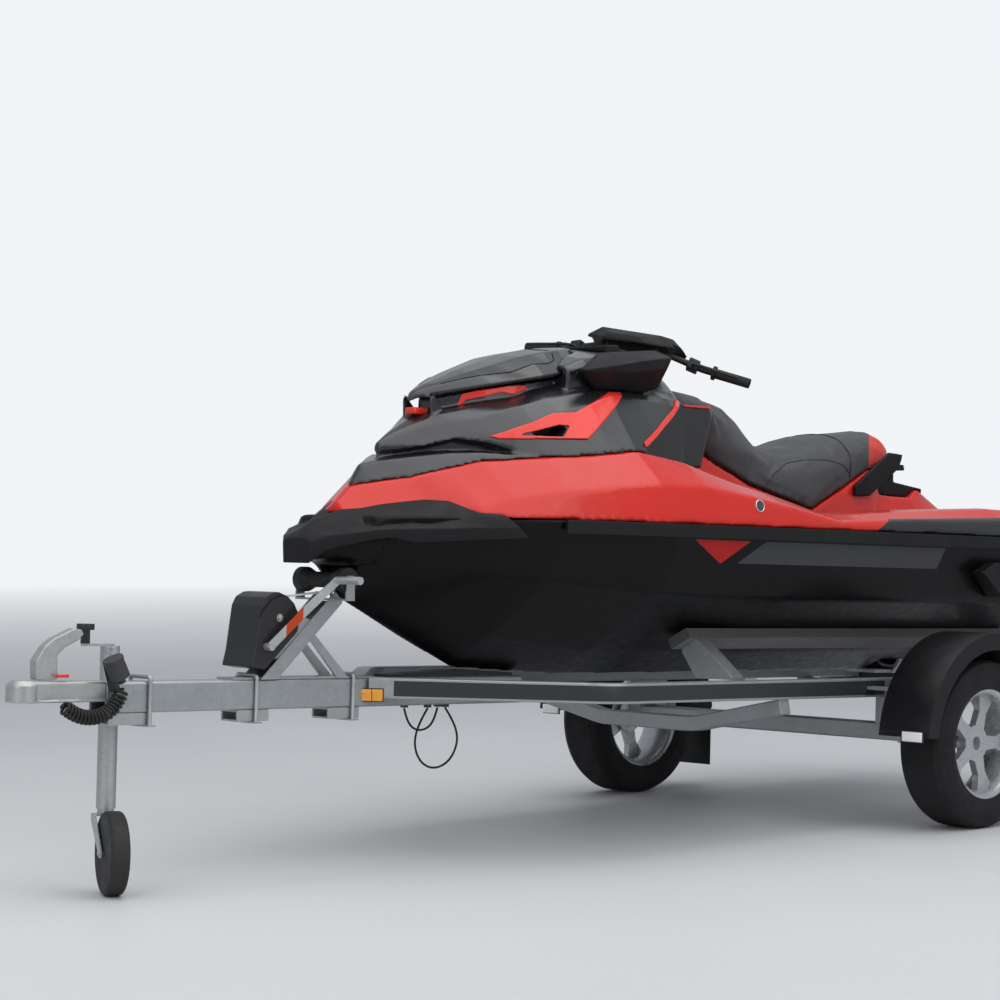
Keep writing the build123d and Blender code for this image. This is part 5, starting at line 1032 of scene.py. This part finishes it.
RAIL_FACE_Y = 595.4
BOLT_DISTANCES, BOLT_HEIGHTS = (-900, -560), (453, 483)
bolts("rail_bolts", [(ahead(distance, side * RAIL_FACE_Y, z), (0, side, 0)) for side, word in SIDES
                     for distance in BOLT_DISTANCES for z in BOLT_HEIGHTS])
print("bolts ready")

# %% [markdown]
# ## Small pieces of the craft
# A round badge sits on the deck's flank: a bright ring frames a satin disc with a rounded rim. Its
# place is found by a ray, and it faces as the surface does.

# %% Badges
BADGE_STATION, BADGE_H, RAY_FROM_Y = 1866, 571, 800
RING_R, RING_WIRE, RING_PROUD = 0.019, 0.0022, 0.001
FACE_R, FACE_H, FACE_EDGE = 0.0185, 0.004, 0.0008
deck_tree = tree_of(skins["deck"])
chrome = cast("badge_ring", (0.75, 0.75, 0.76), 0.15, 900, 1.0)
badge_face = moulded("badge_face", (0.05, 0.05, 0.055), 0.35, 900, 0.2, 0.5)
for side, word in SIDES:
    start = TIP @ craft(BADGE_STATION, side * RAY_FROM_Y, BADGE_H)
    hit, normal, *_ = deck_tree.ray_cast(start, Vector((0, -side, 0)))
    bpy.ops.object.select_all(action="DESELECT")
    bpy.ops.mesh.primitive_torus_add(major_radius=RING_R, minor_radius=RING_WIRE, major_segments=40,
                                     minor_segments=10)
    ring = bpy.context.object
    facing = normal.to_track_quat("Z", "Y").to_matrix().to_4x4()
    ring.matrix_world = Matrix.Translation(hit + normal * RING_PROUD) @ facing
    settle(ring, f"badge_ring_{word}", "zinc_bright", finish=chrome, tip=False)
    bpy.ops.object.select_all(action="DESELECT")
    bpy.ops.mesh.primitive_cylinder_add(vertices=40, radius=FACE_R, depth=FACE_H)
    disc = bpy.context.object
    bpy.ops.object.mode_set(mode="EDIT")
    bpy.ops.mesh.select_all(action="SELECT")
    bpy.ops.mesh.bevel(offset=FACE_EDGE, segments=2, affect="EDGES")
    bpy.ops.object.mode_set(mode="OBJECT")
    disc.matrix_world = Matrix.Translation(hit) @ facing
    settle(disc, f"badge_face_{word}", "bumper_black", finish=badge_face, tip=False)
print("badge at", [round(c, 3) for c in hit])

# %% Seam of the hood
hood_body = body_of["hood"]
hood_tree = tree_of(skins["hood"])
HOOD_SEAM = ((2800, 52), (2745, 84), (2691, 120), (2596, 156), (2510, 168), (2440, 167), (2396, 150),
             (2372, 118), (2366, 60), (2366, 0))
ABOVE_HOOD = 1300
HOOD_SEAM_R = 0.0018
# The near-black strips laid in the hood's seam and in the winch's groove are painted shade in these gaps.
gap_shade = moulded("gap_shade", (0.004, 0.004, 0.004), 0.8)
ring = list(HOOD_SEAM) + [(st, -y) for st, y in reversed(HOOD_SEAM[:-1])]
hits = hits_of(hood_tree, along([craft(st, y, ABOVE_HOOD) for st, y in ring], 3), Vector((0, 0, -1)))
welt("hood_seam", hits, HOOD_SEAM_R, "cowl_black", hood_body, gap_shade)
print("hood seam", len(hits))

# %% Louvres beside the hood
LOUVRES, LOUVRE_FIRST, LOUVRE_PITCH, LOUVRE_LEAN = 6, 2512, 26, 12
LOUVRE_FOOT, LOUVRE_TOP, LOUVRE_RISE, LOUVRE_R = 938, 968, 3.5, 0.0034
cowl_tree = tree_of(skins["front_cowl"])
for side, word in SIDES:
    made = []
    for n in range(LOUVRES):
        st, rise = LOUVRE_FIRST - n * LOUVRE_PITCH, n * LOUVRE_RISE
        ends = [craft(st + LOUVRE_LEAN, side * OUTSIDE_Y, LOUVRE_FOOT + rise),
                craft(st - LOUVRE_LEAN, side * OUTSIDE_Y, LOUVRE_TOP + rise)]
        hits = hits_of(cowl_tree, ends, Vector((0, -side, 0)))
        if len(hits) == len(ends):
            line = [hits[0], hits[0].lerp(hits[1], 0.5), hits[1]]
            made.append(welt(f"louvre_{n}", line, LOUVRE_R, "bumper_black", HOME))
    if made:
        joined(made).name = f"louvres_{word}"
print("louvres ready")

# %% Red lip under the hood's nose
LIP_REAR, LIP_FRONT, LIP_HALF_W, LIP_FOOT, LIP_TOP, LIP_EDGE = 2825, 2884, 24, 824, 846, 0.006
lip = block(craft(LIP_REAR, -LIP_HALF_W, LIP_FOOT), craft(LIP_FRONT, LIP_HALF_W, LIP_TOP), LIP_EDGE, 4)
settle(lip, "nose_lip", "trim_red", hood_body)

# %% [markdown]
# The winch's cover is two halves. A black welt lies in the groove between them as painted shade, and a bolt
# holds the crank's hub. The coupling has a small red indicator.

# %% Winch cover and coupling details
GROOVE = ((2560, 640), (2540, 700), (2500, 738), (2450, 752), (2410, 738))
GROOVE_R = 0.0022
winch_tree = tree_of(skins["winch_box"])
starts = along([ahead(distance, 200, z) for distance, z in GROOVE], 4)
hits = hits_of(winch_tree, starts, Vector((0, -1, 0)))
if len(hits) > 3:
    # The groove's near-black welt is painted shade in the groove.
    welt("winch_groove", hits, GROOVE_R, "winch_black", HOME, gap_shade)
bolts("winch_bolts", [(ahead(2471, 66, 681), (0, 1, 0))], size=1.2)
indicator = block(ahead(3236, 24, 512), ahead(3200, 36, 521), 0.0015)
settle(indicator, "coupling_indicator", "trim_red")
print("details ready", len(hits))

# %% [markdown]
# ## Floor, light and backdrop
# The floor is plain and pale, with a fine concrete grain. It runs far out, and the camera sees it
# fade into the backdrop. Light comes from an even pale sky and from three large soft lamps, which
# give the gloss a gradient to reflect. The camera sees the sky brighter than it shines.

# %% Floor
BACKDROP, BACKDROP_GLOW = (0.93, 0.95, 0.98, 1), 0.95
bpy.ops.object.select_all(action="DESELECT")
bpy.ops.mesh.primitive_plane_add(size=2400, location=(0, 0, 0))
floor = bpy.context.object
floor.name = "floor"
floor_finish = Finish("floor_paint", (0.66, 0.66, 0.67), 0.55)
speckle = floor_finish.noise(60, 6.0, 0.7)
patches = floor_finish.noise(0.6, 5.0)
mottle = speckle * 0.5 + patches * 0.5
floor_finish.tint(floor_finish.blend(mottle, (0.56, 0.56, 0.57, 1), (0.76, 0.76, 0.77, 1)))
away = floor_finish.node("VectorMath", {"operation": "LENGTH"}, out="Value", Vector=floor_finish.place())
far = floor_finish.node("Emission", Color=BACKDROP, Strength=BACKDROP_GLOW)
fade = floor_finish.step(away, 8.0, 26.0)
seen_far = fade * floor_finish.node("LightPath", out="Is Camera Ray")
mix_node = floor_finish.node("MixShader", Fac=seen_far).socket.node
floor_tree = floor_finish.tree
floor_tree.links.new(floor_finish.shader.outputs[0], mix_node.inputs[1])
floor_tree.links.new(far.socket, mix_node.inputs[2])
floor_tree.links.new(mix_node.outputs[0], floor_tree.nodes["Material Output"].inputs["Surface"])
floor.data.materials.append(floor_finish.material)

# %% World
world = bpy.data.worlds.new("sky")
bpy.context.scene.world = world
world.use_nodes = True
world_tree = world.node_tree
sky = world_tree.nodes["Background"]
sky.inputs["Color"].default_value = (0.90, 0.94, 1.0, 1)
sky.inputs["Strength"].default_value = 0.5
seen = world_tree.nodes.new("ShaderNodeBackground")
seen.inputs["Color"].default_value = BACKDROP
seen.inputs["Strength"].default_value = BACKDROP_GLOW
rays = world_tree.nodes.new("ShaderNodeLightPath")
either = world_tree.nodes.new("ShaderNodeMath")
either.operation = "MAXIMUM"
world_tree.links.new(rays.outputs["Is Camera Ray"], either.inputs[0])
world_tree.links.new(rays.outputs["Is Transmission Ray"], either.inputs[1])
choice = world_tree.nodes.new("ShaderNodeMixShader")
world_tree.links.new(either.outputs[0], choice.inputs[0])
world_tree.links.new(sky.outputs[0], choice.inputs[1])
world_tree.links.new(seen.outputs[0], choice.inputs[2])
world_tree.links.new(choice.outputs[0], world_tree.nodes["World Output"].inputs["Surface"])

# %% Lamps
# Columns: name, place, what it is aimed at, side length in metres, power in watts
LAMPS = (
    ("overhead", (0.5, 1.5, 6.0), (0, 0, 0.8), 8.0, 290),
    ("bow_fill", (7.0, 2.0, 3.2), (0.3, 0, 0.9), 4.0, 70),
    ("port_fill", (0.0, 8.0, 3.6), (0, 0, 0.8), 5.0, 90),
)
for lamp_name, place, aim, size, power in LAMPS:
    bpy.ops.object.light_add(type="AREA", location=place)
    light = bpy.context.object
    light.name = lamp_name
    light.data.size = size
    light.data.energy = power
    light.rotation_euler = (Vector(aim) - Vector(place)).to_track_quat("-Z", "Y").to_euler()

# %% Remove the pattern bolt
bpy.data.objects.remove(pattern_bolt)
